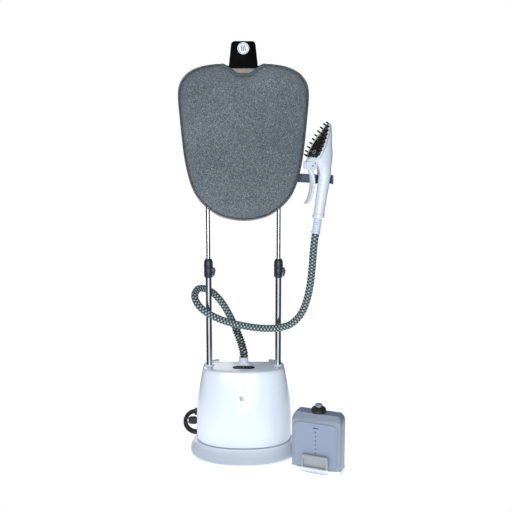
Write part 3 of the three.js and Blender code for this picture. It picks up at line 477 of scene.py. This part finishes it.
def dress_cad_nodes():
    slots = {row["node"]: row["material_slot"] for row in frame["record"]["subparts"]}
    for name, node in nodes.items():
        node.data.materials.clear()
        node.data.materials.append(materials[slots[name]])
        node.data.polygons.foreach_set("use_smooth", [True] * len(node.data.polygons))
        weld = node.modifiers.new("weld", "WELD")
        weld.merge_threshold = 0.01 * MM
        if name in BEVELS:
            bevel = node.modifiers.new("soft edges", "BEVEL")
            bevel.width = BEVELS[name] * MM
            bevel.segments = 2
            bevel.limit_method = "ANGLE"
            bevel.angle_limit = math.radians(40)
        split = node.modifiers.new("crease", "EDGE_SPLIT")
        split.split_angle = math.radians(34)


dress_cad_nodes()

# ------------------------------------------------------------------ steam hose

low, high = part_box("hose_collar")
collar = Vector(((low.x + high.x) / 2, (low.y + high.y) / 2, high.z))
cuff_end = Vector([joint["pos_m"] for joint in frame["joints"]
                   if joint["name"] == "handset_tip_out"][0])
HANDSET_YAW = math.radians(-60)
HANDLE_LEAN = math.radians(10)
cuff_axis = Matrix.Rotation(HANDSET_YAW, 3, "Z") @ Vector((0, math.sin(HANDLE_LEAN),
                                                          math.cos(HANDLE_LEAN)))
HOSE_ROUTE = [
    (-8, 17, 370), (-24, 28, 411), (-40, 34, 447), (-60, 40, 484), (-83, 44, 517),
    (-107, 46, 540), (-133, 38, 554), (-151, 24, 556), (-160, 6, 546), (-160, -10, 533),
    (-147, -27, 512), (-128, -36, 496), (-103, -41, 481), (-71, -44, 467), (-32, -45, 455),
    (10, -45, 446), (53, -45, 440), (96, -45, 439), (128, -47, 444), (152, -50, 453),
    (177, -55, 476), (194, -61, 505), (206, -67, 542), (215, -73, 592), (220, -79, 648),
    (223, -84, 700),
]
HOSE_DIAMETER = 24 * MM
GUARD_LENGTH = 104 * MM
GUARD_PITCH = 8.6 * MM
GUARD_RADIUS = 12.6 * MM
GUARD_WIRE_RADIUS = 2.0 * MM


def steam_hose():
    start = collar + Vector((0, 0, 0.3 * MM))
    points = [start, start + Vector((0, 0, 14 * MM))]
    points += [Vector(p) * MM for p in HOSE_ROUTE]
    points += [cuff_end - cuff_axis * 22 * MM, cuff_end - cuff_axis * 0.6 * MM]
    route = smooth_route(points, 1.5 * MM)

    def knitted(s, turn):
        x = turn * BRAID_ROWS
        y = s * 2 / BRAID_PITCH
        lift = math.cos(math.pi * (x + y)) + math.cos(math.pi * (x - y))
        return HOSE_DIAMETER / 2 - 0.5 * MM + 0.3 * MM * lift

    hose = sweep("steam_hose_sleeve", route, knitted, sides=40)
    hose.data.materials.append(materials["hose_braid"])
    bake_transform(hose)
    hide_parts("steam_hose", "hose_guard")
    return hose, route


def hose_guard(route):
    """A black spring wound round the first stretch of the hose."""
    along = 0.0
    line = [route[0]]
    for a, b in zip(route, route[1:]):
        along += (b - a).length
        if along > GUARD_LENGTH:
            break
        line.append(b)
    step = 0.5 * MM
    line = resample(line, step)
    points = []
    for k, (point, (side, up)) in enumerate(zip(line, frames_along(line))):
        angle = 2 * math.pi * k * step / GUARD_PITCH
        across, along_up = GUARD_RADIUS * math.cos(angle), GUARD_RADIUS * math.sin(angle)
        points.append(point + side * across + up * along_up)
    guard = sweep("hose_guard_spring", points[3:-3], GUARD_WIRE_RADIUS, sides=8)
    return finish_piece(guard, "base", materials["black_rubber"])


hose, hose_route = steam_hose()
guard = hose_guard(hose_route)

# ------------------------------------------------------------------ power cord

CORD_DIAMETER = 6.4 * MM
CORD_LEAD = [
    (-58, 142, 66), (-60, 160, 60), (-66, 174, 42), (-78, 178, 20), (-96, 170, 8),
    (-118, 151, 4), (-135, 138, 3.7), (-152, 134, 3.6),
]
COIL_CENTRE = Vector((-172, 130, 48)) * MM


def coil_points():
    """Six turns: three side by side on the outside, then three inside them."""
    layers = [(42.4, 4.6), (41.0, -1.2), (42.6, -6.2), (35.6, -5.4), (35.0, 0.4), (34.8, 5.6),
              (36.6, -8.0)]
    steps = 24
    points = []
    for turn in range(6):
        (radius, offset), (next_radius, next_offset) = layers[turn], layers[turn + 1]
        lean = random.uniform(-1.6, 1.6)
        for k in range(steps):
            share = k / steps
            ease = share * share * (3 - 2 * share) if share > 0.5 else 0
            r = radius + (next_radius - radius) * ease
            y = offset + (next_offset - offset) * ease + lean * math.sin(2 * math.pi * share)
            angle = -math.pi / 2 - 2 * math.pi * share
            points.append(COIL_CENTRE + Vector((r * math.cos(angle), y, r * math.sin(angle))) * MM)
    return points


def power_cord():
    plug_low, plug_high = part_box("power_plug")
    inlet = Vector((plug_high.x, (plug_low.y + plug_high.y) / 2, (plug_low.z + plug_high.z) / 2))
    gland_low, gland_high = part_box("cord_gland")
    exit_point = Vector(((gland_low.x + gland_high.x) / 2, gland_high.y,
                         (gland_low.z + gland_high.z) / 2))
    lead = [exit_point] + [Vector(p) * MM for p in CORD_LEAD]
    tail = [Vector((-190, 121, 15)), Vector((-172, 119, 10)), Vector((-150, 117, 14)),
            Vector((-133, 114, 27)), Vector((-129, 112, 43)), Vector((-137, 111.3, 56))]
    points = lead + coil_points()[1:] + [p * MM for p in tail]
    points += [inlet + Vector((6 * MM, 0, 0)), inlet + Vector((0.2 * MM, 0, 0))]
    route = smooth_route(points, 2 * MM)
    cord = sweep("power_cord_run", route, CORD_DIAMETER / 2, sides=12)
    finish_piece(cord, "base", materials["black_rubber"],
                 ("power_cord", "cord_coil"))


power_cord()

# ------------------------------------------------------------------ board cover


def board_outline():
    """The pad's outer edge, anticlockwise seen from the front, at the pad's widest ring."""
    pad = nodes["board_pad"]
    low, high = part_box("board_pad")
    ring = set()
    for vertex in pad.data.vertices:
        if abs(vertex.co.y - (low.y + 4 * MM)) < 0.2 * MM:
            ring.add((round(vertex.co.x, 5), round(vertex.co.z, 5)))
    centre = Vector(((low.x + high.x) / 2, 0, (low.z + high.z) / 2))
    ordered = sorted(ring, key=lambda p: math.atan2(p[1] - centre.z, p[0] - centre.x))
    return [Vector((x, 0, z)) for x, z in ordered], centre, low, high


NOTCH_DEPTH = 30 * MM
NOTCH_REACH = 70 * MM
NOTCH_FLAT = 14 * MM
NOTCH_SLOPE = 54 * MM


def notch_height(x, top):
    """The neckline's height at a distance from the board's middle."""
    share = min(1.0, max(0.0, (abs(x) - NOTCH_FLAT) / NOTCH_SLOPE))
    return top - NOTCH_DEPTH * (1 - share * share * (3 - 2 * share))


def remeshed(piece, voxel):
    remesh = piece.modifiers.new("remesh", "REMESH")
    remesh.mode = "VOXEL"
    remesh.voxel_size = voxel
    apply_modifiers(piece)


def puffed(piece, cap, pressure=4.0):
    """Swells a closed mesh like a filled cover, with no point moved further than cap."""
    start = np.array([v.co[:] for v in piece.data.vertices])
    cloth = piece.modifiers.new("cloth", "CLOTH")
    cloth.settings.use_pressure = True
    cloth.settings.uniform_pressure_force = pressure
    cloth.settings.effector_weights.gravity = 0
    cloth.settings.quality = 4
    scene = bpy.context.scene
    for number in range(1, 21):
        scene.frame_set(number)
    graph = bpy.context.evaluated_depsgraph_get()
    swollen = piece.evaluated_get(graph).to_mesh()
    end = np.array([v.co[:] for v in swollen.vertices])
    piece.modifiers.clear()
    scene.frame_set(1)
    step = end - start
    length = np.linalg.norm(step, axis=1, keepdims=True)
    step *= np.minimum(1, cap / np.maximum(length, 1e-9))
    piece.data.vertices.foreach_set("co", (start + step).astype(np.float32).ravel())
    piece.data.update()


def smooth_neck(outline, centre):
    """The outline with its neckline replaced by an even curve of close points."""
    sides = [p for p in outline if p.z < centre.z or abs(p.x - centre.x) > NOTCH_REACH]
    start = next(k for k, p in enumerate(sides)
                 if p.z > centre.z and sides[(k + 1) % len(sides)].x < centre.x < p.x)
    edge = sides[start].z
    neck = []
    for x in np.linspace(NOTCH_REACH - 3 * MM, -NOTCH_REACH + 3 * MM, 45):
        neck.append(Vector((centre.x + x, 0, notch_height(x, edge))))
    return sides[:start + 1] + neck + sides[start + 1:]


def board_cover(outline, centre, low, high):
    """The padded cover: the pad's outline filled, then swollen a little by simulation."""
    mid = (low.y + high.y) / 2
    thick = (high.y - low.y) / 2
    inner = [centre + (p - centre) * 0.994 for p in smooth_neck(outline, centre)]
    levels = [(0.90, -0.72), (0.985, -0.60), (1.0, 0.0), (0.985, 0.7), (0.90, 0.8)]
    rings = [[(centre.x + (p.x - centre.x) * s, mid + thick * y, centre.z + (p.z - centre.z) * s)
              for p in inner] for s, y in levels]
    cover = skin("board_cover", rings)
    remeshed(cover, 5 * MM)
    puffed(cover, 3.2 * MM)
    relax = cover.modifiers.new("relax", "SMOOTH")
    relax.iterations = 6
    subdivide = cover.modifiers.new("subdivide", "SUBSURF")
    subdivide.levels = subdivide.render_levels = 1
    apply_modifiers(cover)
    top = high.y
    for vertex in cover.data.vertices:
        vertex.co.y = min(vertex.co.y, top - 0.2 * MM)
    cover.data.polygons.foreach_set("use_smooth", [True] * len(cover.data.polygons))
    finish_piece(cover, "mast", materials["pad_fabric"], ("board_pad",))


def board_trim(outline, centre, low):
    """A thin piping round the board's front edge and a binding along its neckline."""
    front = low.y + 5.5 * MM
    edge = [Vector((p.x, front, p.z)) for p in smooth_neck(outline, centre)]
    piping = sweep("board_piping", resample(edge + [edge[0]], 3 * MM), 0.9 * MM, sides=10)
    finish_piece(piping, "mast", navy_piping)
    top = max(p.z for p in outline if abs(abs(p.x - centre.x) - NOTCH_REACH) < 8 * MM)
    line = []
    for x in np.linspace(-NOTCH_REACH + 2 * MM, NOTCH_REACH - 2 * MM, 47):
        z = notch_height(x, top) - 4.2 * MM
        line.append(Vector((centre.x + x, low.y + 2.6 * MM, z)))
    strip = sweep("neck_binding", resample(line, 2 * MM), 5.0 * MM, sides=16)
    finish_piece(strip, "mast", teal_binding)


def back_hem(outline, centre, high):
    """The cover's elastic hem, gathered round the back of the panel."""
    panel_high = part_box("board_panel")[1]
    rings = []
    count = len(outline) * 3
    loop = resample(outline + [outline[0]], path_length(outline + [outline[0]]) / count)[:-1]
    steps = [(0.995, high.y - 1.0 * MM, 0), (0.992, panel_high.y + 0.6 * MM, 0.15),
             (0.975, panel_high.y + 1.8 * MM, 0.5), (0.945, panel_high.y + 2.0 * MM, 0.9),
             (0.915, panel_high.y + 1.4 * MM, 1.0), (0.905, panel_high.y + 0.7 * MM, 0.3)]
    for scale, y, gather in steps:
        ring = []
        for k, p in enumerate(loop):
            wave = gather * 0.9 * MM * math.sin(k * 1.7) + gather * 0.5 * MM * math.sin(k * 0.61)
            inward = centre + (p - centre) * scale
            ring.append((inward.x, y + wave, inward.z))
        rings.append(ring)
    faces = wall_faces(len(rings), len(rings[0]))
    hem = link_mesh("cover_back_hem", [p for ring in rings for p in ring], faces)
    shell = hem.modifiers.new("cloth thickness", "SOLIDIFY")
    shell.thickness = 0.8 * MM
    apply_modifiers(hem)
    hem.data.polygons.foreach_set("use_smooth", [True] * len(hem.data.polygons))
    finish_piece(hem, "mast", materials["pad_fabric"])


outline, board_centre, pad_low, pad_high = board_outline()
board_cover(outline, board_centre, pad_low, pad_high)
board_trim(outline, board_centre, pad_low)
back_hem(outline, board_centre, pad_high)

# ------------------------------------------------------------------ handset details

handset_place = Matrix.Translation(cuff_end) @ Matrix.Rotation(HANDSET_YAW, 4, "Z")
PLATE_LEAN = math.radians(30)
plate_place = (handset_place @ Matrix.Translation(Vector((0, -15, 245)) * MM)
               @ Matrix.Rotation(math.pi / 2 - PLATE_LEAN, 4, "X"))


def bezier(a, b, c, d, count):
    points = []
    for k in range(1, count + 1):
        t = k / count
        s = 1 - t
        points.append(tuple(s ** 3 * a[i] + 3 * s * s * t * b[i] + 3 * s * t * t * c[i]
                            + t ** 3 * d[i] for i in (0, 1)))
    return points


def quadratic(a, b, c, count):
    mids = [tuple(end[i] + (b[i] - end[i]) * 2 / 3 for i in (0, 1)) for end in (a, c)]
    return bezier(a, *mids, c, count)


PLATE_HALF_WIDTH = 31
PLATE_LENGTH = 108


def iron_outline(margin):
    """The sole plate's outline in millimetres, from its base line to its tip."""
    w, tip = PLATE_HALF_WIDTH + margin, PLATE_LENGTH + margin
    right = [(w - 10, -margin)]
    right += quadratic((w - 10, -margin), (w, -margin), (w, 10), 6)
    right += bezier((w, 10), (w * 1.02, tip * 0.42), (w * 0.58, tip * 0.82), (4, tip - 1), 20)
    right += quadratic((4, tip - 1), (2, tip - 0.25), (0, tip - 0.25), 3)
    left = [(-x, y) for x, y in reversed(right[:-1])]
    return right + left


def iron_rings(*levels):
    """The outline at each (margin, height) over the plate, in the world."""
    return [[plate_place @ (Vector((x, y, z)) * MM) for x, y in iron_outline(margin)]
            for margin, z in levels]


def even_loop(points, count):
    loop = [Vector((x, y, 0)) for x, y in points]
    loop.append(loop[0])
    even = resample(loop, path_length(loop) / count)
    return even[:count]


def sole_plate():
    plate = skin("sole_plate_face",
                 iron_rings((-0.4, -6), (-0.4, -1.4), (-1.0, -0.6), (-2.0, -0.4)))
    finish_piece(plate, "handset", materials["plate_metal"], ("steam_plate",))
    rim = sweep("sole_plate_rim", [plate_place @ (Vector((p.x, p.y, -0.2)) * MM) for p in
                                   even_loop(iron_outline(-1.6), 90)], 0.9 * MM, sides=6)
    finish_piece(rim, "handset", plate_edge)
    ports = []
    for row, y in enumerate((20, 34, 48, 62, 76, 88)):
        spread = (0.62, 0.62, 0.56, 0.46, 0.34, 0.2)[row]
        for side in (-1, 1):
            ports.append((side * PLATE_HALF_WIDTH * spread, y))
    for number, (x, y) in enumerate(ports):
        ring = circle(plate_place, (x, y, -0.35), 2.1, 13)
        hole = sweep(f"steam_port_{number:02d}", ring, 0.45 * MM, sides=6)
        finish_piece(hole, "handset", brush_black)
    eye = sweep("centre_port_ring", circle(plate_place, (0, 12, -0.1), 6.5, 25), 1.1 * MM, sides=8)
    finish_piece(eye, "handset", materials["grey_plastic"])
    tail = [plate_place @ (Vector(p) * MM) for p in
            ((-6.5, 13, -0.2), (-12, 14.5, -0.2), (-18, 14.5, -0.2), (-24, 13, -0.2))]
    arm = sweep("centre_port_tail", smooth_route(tail, 1 * MM), 0.9 * MM, sides=8)
    finish_piece(arm, "handset", materials["grey_plastic"])


def brush():
    """The white frame round the plate and its bristles, in tufts of seven."""
    rim = hoop("brush_frame_ring", iron_rings((7.5, -6), (7.5, -1.6), (6.6, -0.4), (5.0, 0),
                                              (2.6, 0), (1.0, -0.8), (0.4, -2.4), (0.4, -6)))
    finish_piece(rim, "handset", materials["white_shell"], ("brush_frame",))
    spots = even_loop(iron_outline(4.6), 22)
    tufts = []
    for spot in spots:
        for k in range(7):
            angle = 2 * math.pi * k / 6
            reach = 0 if k == 6 else 1.7
            foot = Vector((spot.x + reach * math.cos(angle), spot.y + reach * math.sin(angle), -1))
            splay = 1 + random.uniform(-0.1, 0.12)
            tip = Vector((spot.x + reach * splay * math.cos(angle),
                          spot.y + reach * splay * math.sin(angle), 10.2 - random.uniform(0, 0.5)))
            tufts.append((foot, tip))
    vertices, faces = [], []
    for foot, tip in tufts:
        base = len(vertices)
        for centre, radius in ((foot, 1.1), (tip, 1.0)):
            for k in range(6):
                angle = math.pi * k / 3
                vertices.append(plate_place @ ((centre + Vector((radius * math.cos(angle),
                                                                 radius * math.sin(angle), 0)))
                                               * MM))
        for k in range(6):
            faces.append((base + k, base + (k + 1) % 6, base + 6 + (k + 1) % 6, base + 6 + k))
        faces.append(tuple(base + 6 + k for k in range(6)))
        faces.append(tuple(base + k for k in reversed(range(6))))
    bristles = link_mesh("bristle_tufts", vertices, faces)
    finish_piece(bristles, "handset", brush_black, ("brush_bristles",))


def knuckle_screws():
    for number, (y, z, radius) in enumerate(((-22, 214, 2.6), (-13, 222, 2.1))):
        disc = circle(handset_place, (12.2, y, z), radius * 0.5, 13,
                      across=Vector((0, 1, 0)), up=Vector((0, 0, 1)))
        dot = sweep(f"knuckle_screw_{number}", disc, radius * 0.5 * MM, sides=8)
        finish_piece(dot, "handset", dark_mark)


def squeeze_lever():
    """A broad curved trigger: [y of its middle, height, half thickness, half width] down it."""
    stations = [
        (-21, 226, 5, 6.4), (-23, 219, 8.5, 6.6), (-24, 210, 9.5, 6.8), (-22.0, 200, 8.4, 6.8),
        (-17.5, 188, 6.0, 10.0), (-14.5, 172, 4.8, 12.5), (-14.0, 155, 4.2, 13.0),
        (-17.0, 138, 4.0, 12.5), (-22, 121, 3.8, 12.0), (-29, 107, 3.6, 11.4), (-35, 99, 3.4, 11.2),
        (-39, 96.5, 2.6, 10.4),
    ]
    rings = []
    for k, (y, z, half_thick, half_wide) in enumerate(stations):
        ahead, behind = stations[min(k + 1, len(stations) - 1)], stations[max(k - 1, 0)]
        along = Vector((0, ahead[0] - behind[0], ahead[1] - behind[1])).normalized()
        across = Vector((0, -along.z, along.y))
        rings.append([handset_place @ ((Vector((a, y, z)) + across * b) * MM)
                      for a, b in ellipse_ring(half_wide, half_thick, half_thick, 3, 24)])
    lever = skin("squeeze_trigger", rings)
    smooth = lever.modifiers.new("smooth", "SUBSURF")
    smooth.levels = smooth.render_levels = 1
    finish_piece(lever, "squeeze_lever_body", materials["white_shell"],
                 ("squeeze_lever",))


def knuckle_cap():
    """The rounded block between the lever's pivot and the brush frame."""
    stations = [(228.0, -21, 14, 11), (229.5, -20.5, 16.5, 12.5), (234, -18, 16, 12.5),
                (239, -14, 13, 12), (243, -9, 8, 10)]
    rings = [[handset_place @ (Vector((a, y + b, z)) * MM)
              for a, b in ellipse_ring(half_wide, half_deep, half_deep, 3.2, 24)]
             for z, y, half_deep, half_wide in stations]
    finish_piece(skin("knuckle_cap", rings), "handset", materials["white_shell"])


plate_edge = cast_metal("plate edge", (0.50, 0.47, 0.42), 0.3)
sole_plate()
brush()
knuckle_screws()
knuckle_cap()
squeeze_lever()

# ------------------------------------------------------------------ generic marks


def steam_mark(name, place, size, thickness, body):
    """Three short rising waves: a plain steam symbol."""
    for number, x in enumerate((-1, 0, 1)):
        points = [place @ Vector(((x * 0.62 + 0.16 * math.sin(t * 5)) * size / 2,
                                  (t - 0.5) * size, 0)) for t in np.linspace(0, 1, 14)]
        wave = sweep(f"{name}_{number}", points, thickness, sides=8)
        finish_piece(wave, body, dark_mark)


BODY_MARK_Z = 0.214


def body_front(z):
    """The body's front at the middle, at a height, from the CAD skin."""
    best = {}
    for vertex in nodes["body_shell"].data.vertices:
        if abs(vertex.co.x) < 0.03 and vertex.co.y < -0.06:
            key = round(vertex.co.z, 3)
            best[key] = min(best.get(key, 0), vertex.co.y)
    zs = sorted(best)
    return float(np.interp(z, zs, [best[k] for k in zs]))


front_y = body_front(BODY_MARK_Z)
slope = (body_front(BODY_MARK_Z + 0.02) - body_front(BODY_MARK_Z - 0.02)) / 0.04
mark_place = Matrix.Translation((-0.006, front_y - 0.2 * MM, BODY_MARK_Z)) @ Matrix.Rotation(
    math.pi / 2 - math.atan(slope), 4, "X")
steam_mark("body_mark", mark_place, 15 * MM, 1.1 * MM, "base")

badge_low, badge_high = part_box("head_badge")
badge_place = Matrix.Translation(((badge_low.x + badge_high.x) / 2, badge_low.y - 0.1 * MM,
                                  (badge_low.z + badge_high.z) / 2)) @ Matrix.Rotation(
    math.pi / 2, 4, "X")
steam_mark("badge_mark", badge_place, 17 * MM, 1.2 * MM, "mast")
finish_piece(sweep("badge_ring", circle(badge_place, (0, 0, 0), 15.5, 49), 0.6 * MM, sides=8),
             "mast", dark_mark)

# ------------------------------------------------------------------ display icons


def display_icons():
    low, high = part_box("display_window")
    centre = (low + high) / 2
    top = high.z + 0.05 * MM

    def ring_icon(name, x, radius, gap=0.0):
        points = [Vector((centre.x + x + radius * math.cos(a),
                          centre.y + radius * math.sin(a), top))
                  for a in np.linspace(math.pi / 2 + gap, 2.5 * math.pi - gap, 25)]
        finish_piece(sweep(name, points, 0.28 * MM, sides=6), "base", faint_mark)

    ring_icon("icon_power", 0.0, 3.2 * MM, 0.5)
    stem = [Vector((centre.x, centre.y + y * MM, top)) for y in (1.0, 4.4)]
    finish_piece(sweep("icon_power_stem", stem, 0.28 * MM, sides=6), "base", faint_mark)
    for number, x in enumerate((-22, -11, 11, 22)):
        ring_icon(f"icon_level_{number}", x * MM, (1.2 + 0.5 * number) * MM)
    for number, x in enumerate((-22, -11, 11, 22)):
        bar = [Vector((centre.x + (x + dx) * MM, centre.y - 6.5 * MM, top)) for dx in (-2, 2)]
        finish_piece(sweep(f"icon_bar_{number}", bar, 0.22 * MM, sides=6), "base", faint_mark)


display_icons()

# ------------------------------------------------------------------ water tank details

tank_spot = [row["pos_m"] for row in frame["record"]["mounts"]
             if row["name"] == "tank_underside"][0]
TANK_YAW = math.radians(-22.2)
tank_place = Matrix.Translation(tank_spot) @ Matrix.Rotation(TANK_YAW, 4, "Z")


def rounded_rectangle(half_x, half_z, radius, count=6):
    points = []
    for cx, cz, start in ((1, -1, -90), (1, 1, 0), (-1, 1, 90), (-1, -1, 180)):
        for k in range(count + 1):
            a = math.radians(start + 90 * k / count)
            points.append((cx * (half_x - radius) + radius * math.cos(a),
                           cz * (half_z - radius) + radius * math.sin(a)))
    return points


NECK_BORE = 16.5


def tank_shell():
    """The tank's bottle: rounded corners, sloped shoulders and a well under the cap.
    levels holds (height, half width, front, back, corner radius) in millimetres."""
    low, top = 20.3, 198.0
    levels = [
        (low, 80.5, -28, 27.5, 8), (low + 1.5, 82, -29, 29, 9), (100, 82, -29, 29, 9),
        (top - 26, 82, -29, 29, 9), (top - 21, 81.6, -28.2, 29, 9),
        (top - 13, 80, -23.0, 28.6, 9),
        (top - 7, 76.5, -18.5, 27.5, 8), (top - 2, 71.5, -16.3, 25.5, 7), (top, 68.5, -15.0, 24, 6),
        (top, NECK_BORE, -NECK_BORE, NECK_BORE, NECK_BORE - 0.5),
        (top - 9, NECK_BORE, -NECK_BORE, NECK_BORE, NECK_BORE - 0.5),
    ]
    rings = []
    for z, half_x, front, back, corner in levels:
        ring = rounded_rectangle(half_x, (back - front) / 2, corner, 5)
        rings.append([tank_place @ (Vector((x, y + (back + front) / 2, z)) * MM)
                      for x, y in ring])
    shell = skin("tank_bottle", rings)
    finish_piece(shell, "tank", materials["tank_plastic"], ("tank_shell",))
    crease = shell.modifiers.new("crease", "EDGE_SPLIT")
    crease.split_angle = math.radians(30)
    collar = [(NECK_BORE + 0.3, top - 2), (23.5, top - 2), (23.5, top - 0.4), (22, top + 0.6),
              (NECK_BORE + 0.3, top + 0.6)]
    rings = [circle(tank_place, (0, 0, z), radius, 33)[:-1] for radius, z in collar]
    neck = hoop("tank_neck_boss", rings)
    finish_piece(neck, "tank", materials["tank_plastic"])


def tank_panel():
    """The shallow field on the tank's outer face, with a domed top and a raised bead round it."""
    half_x, low_z, high_z = 72, 23, 167
    face = -29.0
    middle = (high_z + low_z) / 2
    outline_points = []
    for x, z in rounded_rectangle(half_x, (high_z - low_z) / 2, 18, 8):
        dome = 5 * (1 - (x / half_x) ** 2) if z > 0 else 0
        outline_points.append((x, z + middle + dome))
    rings = []
    for inset, depth in ((-0.2, 0.6), (0, -0.9), (1.2, -1.3), (2.6, -0.6)):
        rings.append([tank_place @ (Vector((x - inset * math.copysign(1, x), face + depth,
                                            z - inset * math.copysign(1, z - middle))) * MM)
                      for x, z in outline_points])
    panel = skin("tank_face_panel", rings)
    finish_piece(panel, "tank", tank_panel_plastic)
    bead = [tank_place @ (Vector((x, face - 0.5, z)) * MM) for x, z in outline_points]
    bead.append(bead[0])
    rim = sweep("tank_face_bead", resample(bead, 2 * MM), 1.9 * MM, sides=10)
    finish_piece(rim, "tank", materials["tank_plastic"])


DOT_FACE = -30.3


def tank_dots():
    """The water level marks: six dots under a short bar."""
    for number in range(6):
        z = 71 + 14 * number
        points = circle(tank_place, (0, DOT_FACE, z), 1.0, 9, up=Vector((0, 0, 1)))
        finish_piece(sweep(f"level_dot_{number}", points, 1.0 * MM, sides=6), "tank", dark_mark)
    bar = [tank_place @ (Vector((x, DOT_FACE, 154)) * MM) for x in (-8, 8)]
    finish_piece(sweep("level_full_bar", bar, 1.3 * MM, sides=6), "tank", dark_mark)


def cap_knurls():
    low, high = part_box("tank_cap")
    centre = (low + high) / 2
    radius = (high.x - low.x) / 2
    count = 36
    vertices, faces = [], []
    for k in range(count):
        angle = 2 * math.pi * k / count
        base = len(vertices)
        for z in (low.z + 1 * MM, high.z - 3.6 * MM):
            for da, dr in ((-0.05, -0.4), (-0.03, 0.9), (0.03, 0.9), (0.05, -0.4)):
                r = radius + dr * MM
                vertices.append((centre.x + r * math.cos(angle + da),
                                 centre.y + r * math.sin(angle + da), z))
        quads = ((0, 1, 5, 4), (1, 2, 6, 5), (2, 3, 7, 6), (4, 5, 6, 7), (3, 2, 1, 0))
        faces += [tuple(base + corner for corner in quad) for quad in quads]
    knurls = link_mesh("cap_knurls", vertices, faces, smooth=False)
    finish_piece(knurls, "tank_cap_body", materials["black_rubber"])


tank_shell()
tank_panel()
tank_dots()
cap_knurls()

# ------------------------------------------------------------------ studio


def studio():
    """A white backdrop, a bright soft front, and dim sides and back for the chrome to show."""
    scene = bpy.context.scene
    scene.view_settings.view_transform = "Standard"
    world = bpy.data.worlds.new("studio")
    scene.world = world
    world.use_nodes = True
    tree = world.node_tree
    tree.nodes.clear()
    output = tree.nodes.new("ShaderNodeOutputWorld")
    place = tree.nodes.new("ShaderNodeTexCoord")
    split = tree.nodes.new("ShaderNodeSeparateXYZ")
    tree.links.new(place.outputs["Generated"], split.inputs[0])
    path = tree.nodes.new("ShaderNodeLightPath")

    def glow(stops):
        ramp = tree.nodes.new("ShaderNodeMapRange")
        ramp.inputs["From Min"].default_value = -1
        ramp.inputs["From Max"].default_value = 1
        tree.links.new(split.outputs["Y"], ramp.inputs["Value"])
        colors = tree.nodes.new("ShaderNodeValToRGB")
        elements = colors.color_ramp.elements
        while len(elements) < len(stops):
            elements.new(0.5)
        for element, (position, color) in zip(elements, stops):
            element.position = position
            element.color = (*color, 1)
        tree.links.new(ramp.outputs[0], colors.inputs["Fac"])
        background = tree.nodes.new("ShaderNodeBackground")
        tree.links.new(colors.outputs["Color"], background.inputs["Color"])
        return background

    soft = glow([(0.0, (1.0, 1.0, 1.0)), (0.22, (0.40, 0.44, 0.53)), (0.42, (0.04, 0.05, 0.09)),
                 (1.0, (0.14, 0.16, 0.20))])
    soft.inputs["Strength"].default_value = 0.85
    mirrored = glow([(0.0, (1.0, 1.0, 1.0)), (0.05, (0.9, 0.92, 0.95)),
                     (0.12, (0.04, 0.045, 0.055)), (0.85, (0.02, 0.022, 0.03)),
                     (1.0, (0.12, 0.13, 0.15))])
    mirrored.inputs["Strength"].default_value = 1.3
    plain = tree.nodes.new("ShaderNodeBackground")
    plain.inputs["Color"].default_value = (1, 1, 1, 1)
    first = tree.nodes.new("ShaderNodeMixShader")
    tree.links.new(path.outputs["Is Glossy Ray"], first.inputs["Fac"])
    tree.links.new(soft.outputs[0], first.inputs[1])
    tree.links.new(mirrored.outputs[0], first.inputs[2])
    second = tree.nodes.new("ShaderNodeMixShader")
    tree.links.new(path.outputs["Is Camera Ray"], second.inputs["Fac"])
    tree.links.new(first.outputs[0], second.inputs[1])
    tree.links.new(plain.outputs[0], second.inputs[2])
    tree.links.new(second.outputs[0], output.inputs["Surface"])


def area_light(name, place, target, size, power):
    data = bpy.data.lights.new(name, "AREA")
    data.shape = "RECTANGLE"
    data.size, data.size_y = size
    data.energy = power
    light = bpy.data.objects.new(name, data)
    light.location = place
    light.rotation_euler = (Vector(target) - Vector(place)).to_track_quat("-Z", "Y").to_euler()
    bpy.context.scene.collection.objects.link(light)


def floor():
    """A round pale floor, no wider than the view needs, so that the poles mirror little of it."""
    radius, sides = 0.85, 96
    ring = [(radius * math.cos(a), 0.1 + radius * math.sin(a), 0)
            for a in np.linspace(0, 2 * math.pi, sides, endpoint=False)]
    piece = link_mesh("floor", ring, [tuple(range(sides))], smooth=False)
    shader = Shader("floor", (0.93, 0.93, 0.94), 0.9, Specular_IOR_Level=0.0,
                    Emission_Color=(1, 1, 1, 1), Emission_Strength=0.72)
    shader.tint(shader.noise(3, 2), (0.92, 0.92, 0.93), (0.94, 0.94, 0.95))
    piece.data.materials.append(shader.material)


studio()
floor()
area_light("key", (-0.75, -2.9, 1.5), (0, 0, 0.6), (0.9, 1.2), 20)
area_light("front", (0.05, -3.0, 0.8), (0, 0, 0.4), (0.5, 1.4), 24)
area_light("top", (0.0, 0.2, 3.0), (0, 0, 0), (2.0, 2.0), 2.5)
area_light("rear", (-0.9, 2.6, 1.8), (0, 0, 0.7), (1.8, 1.8), 24)
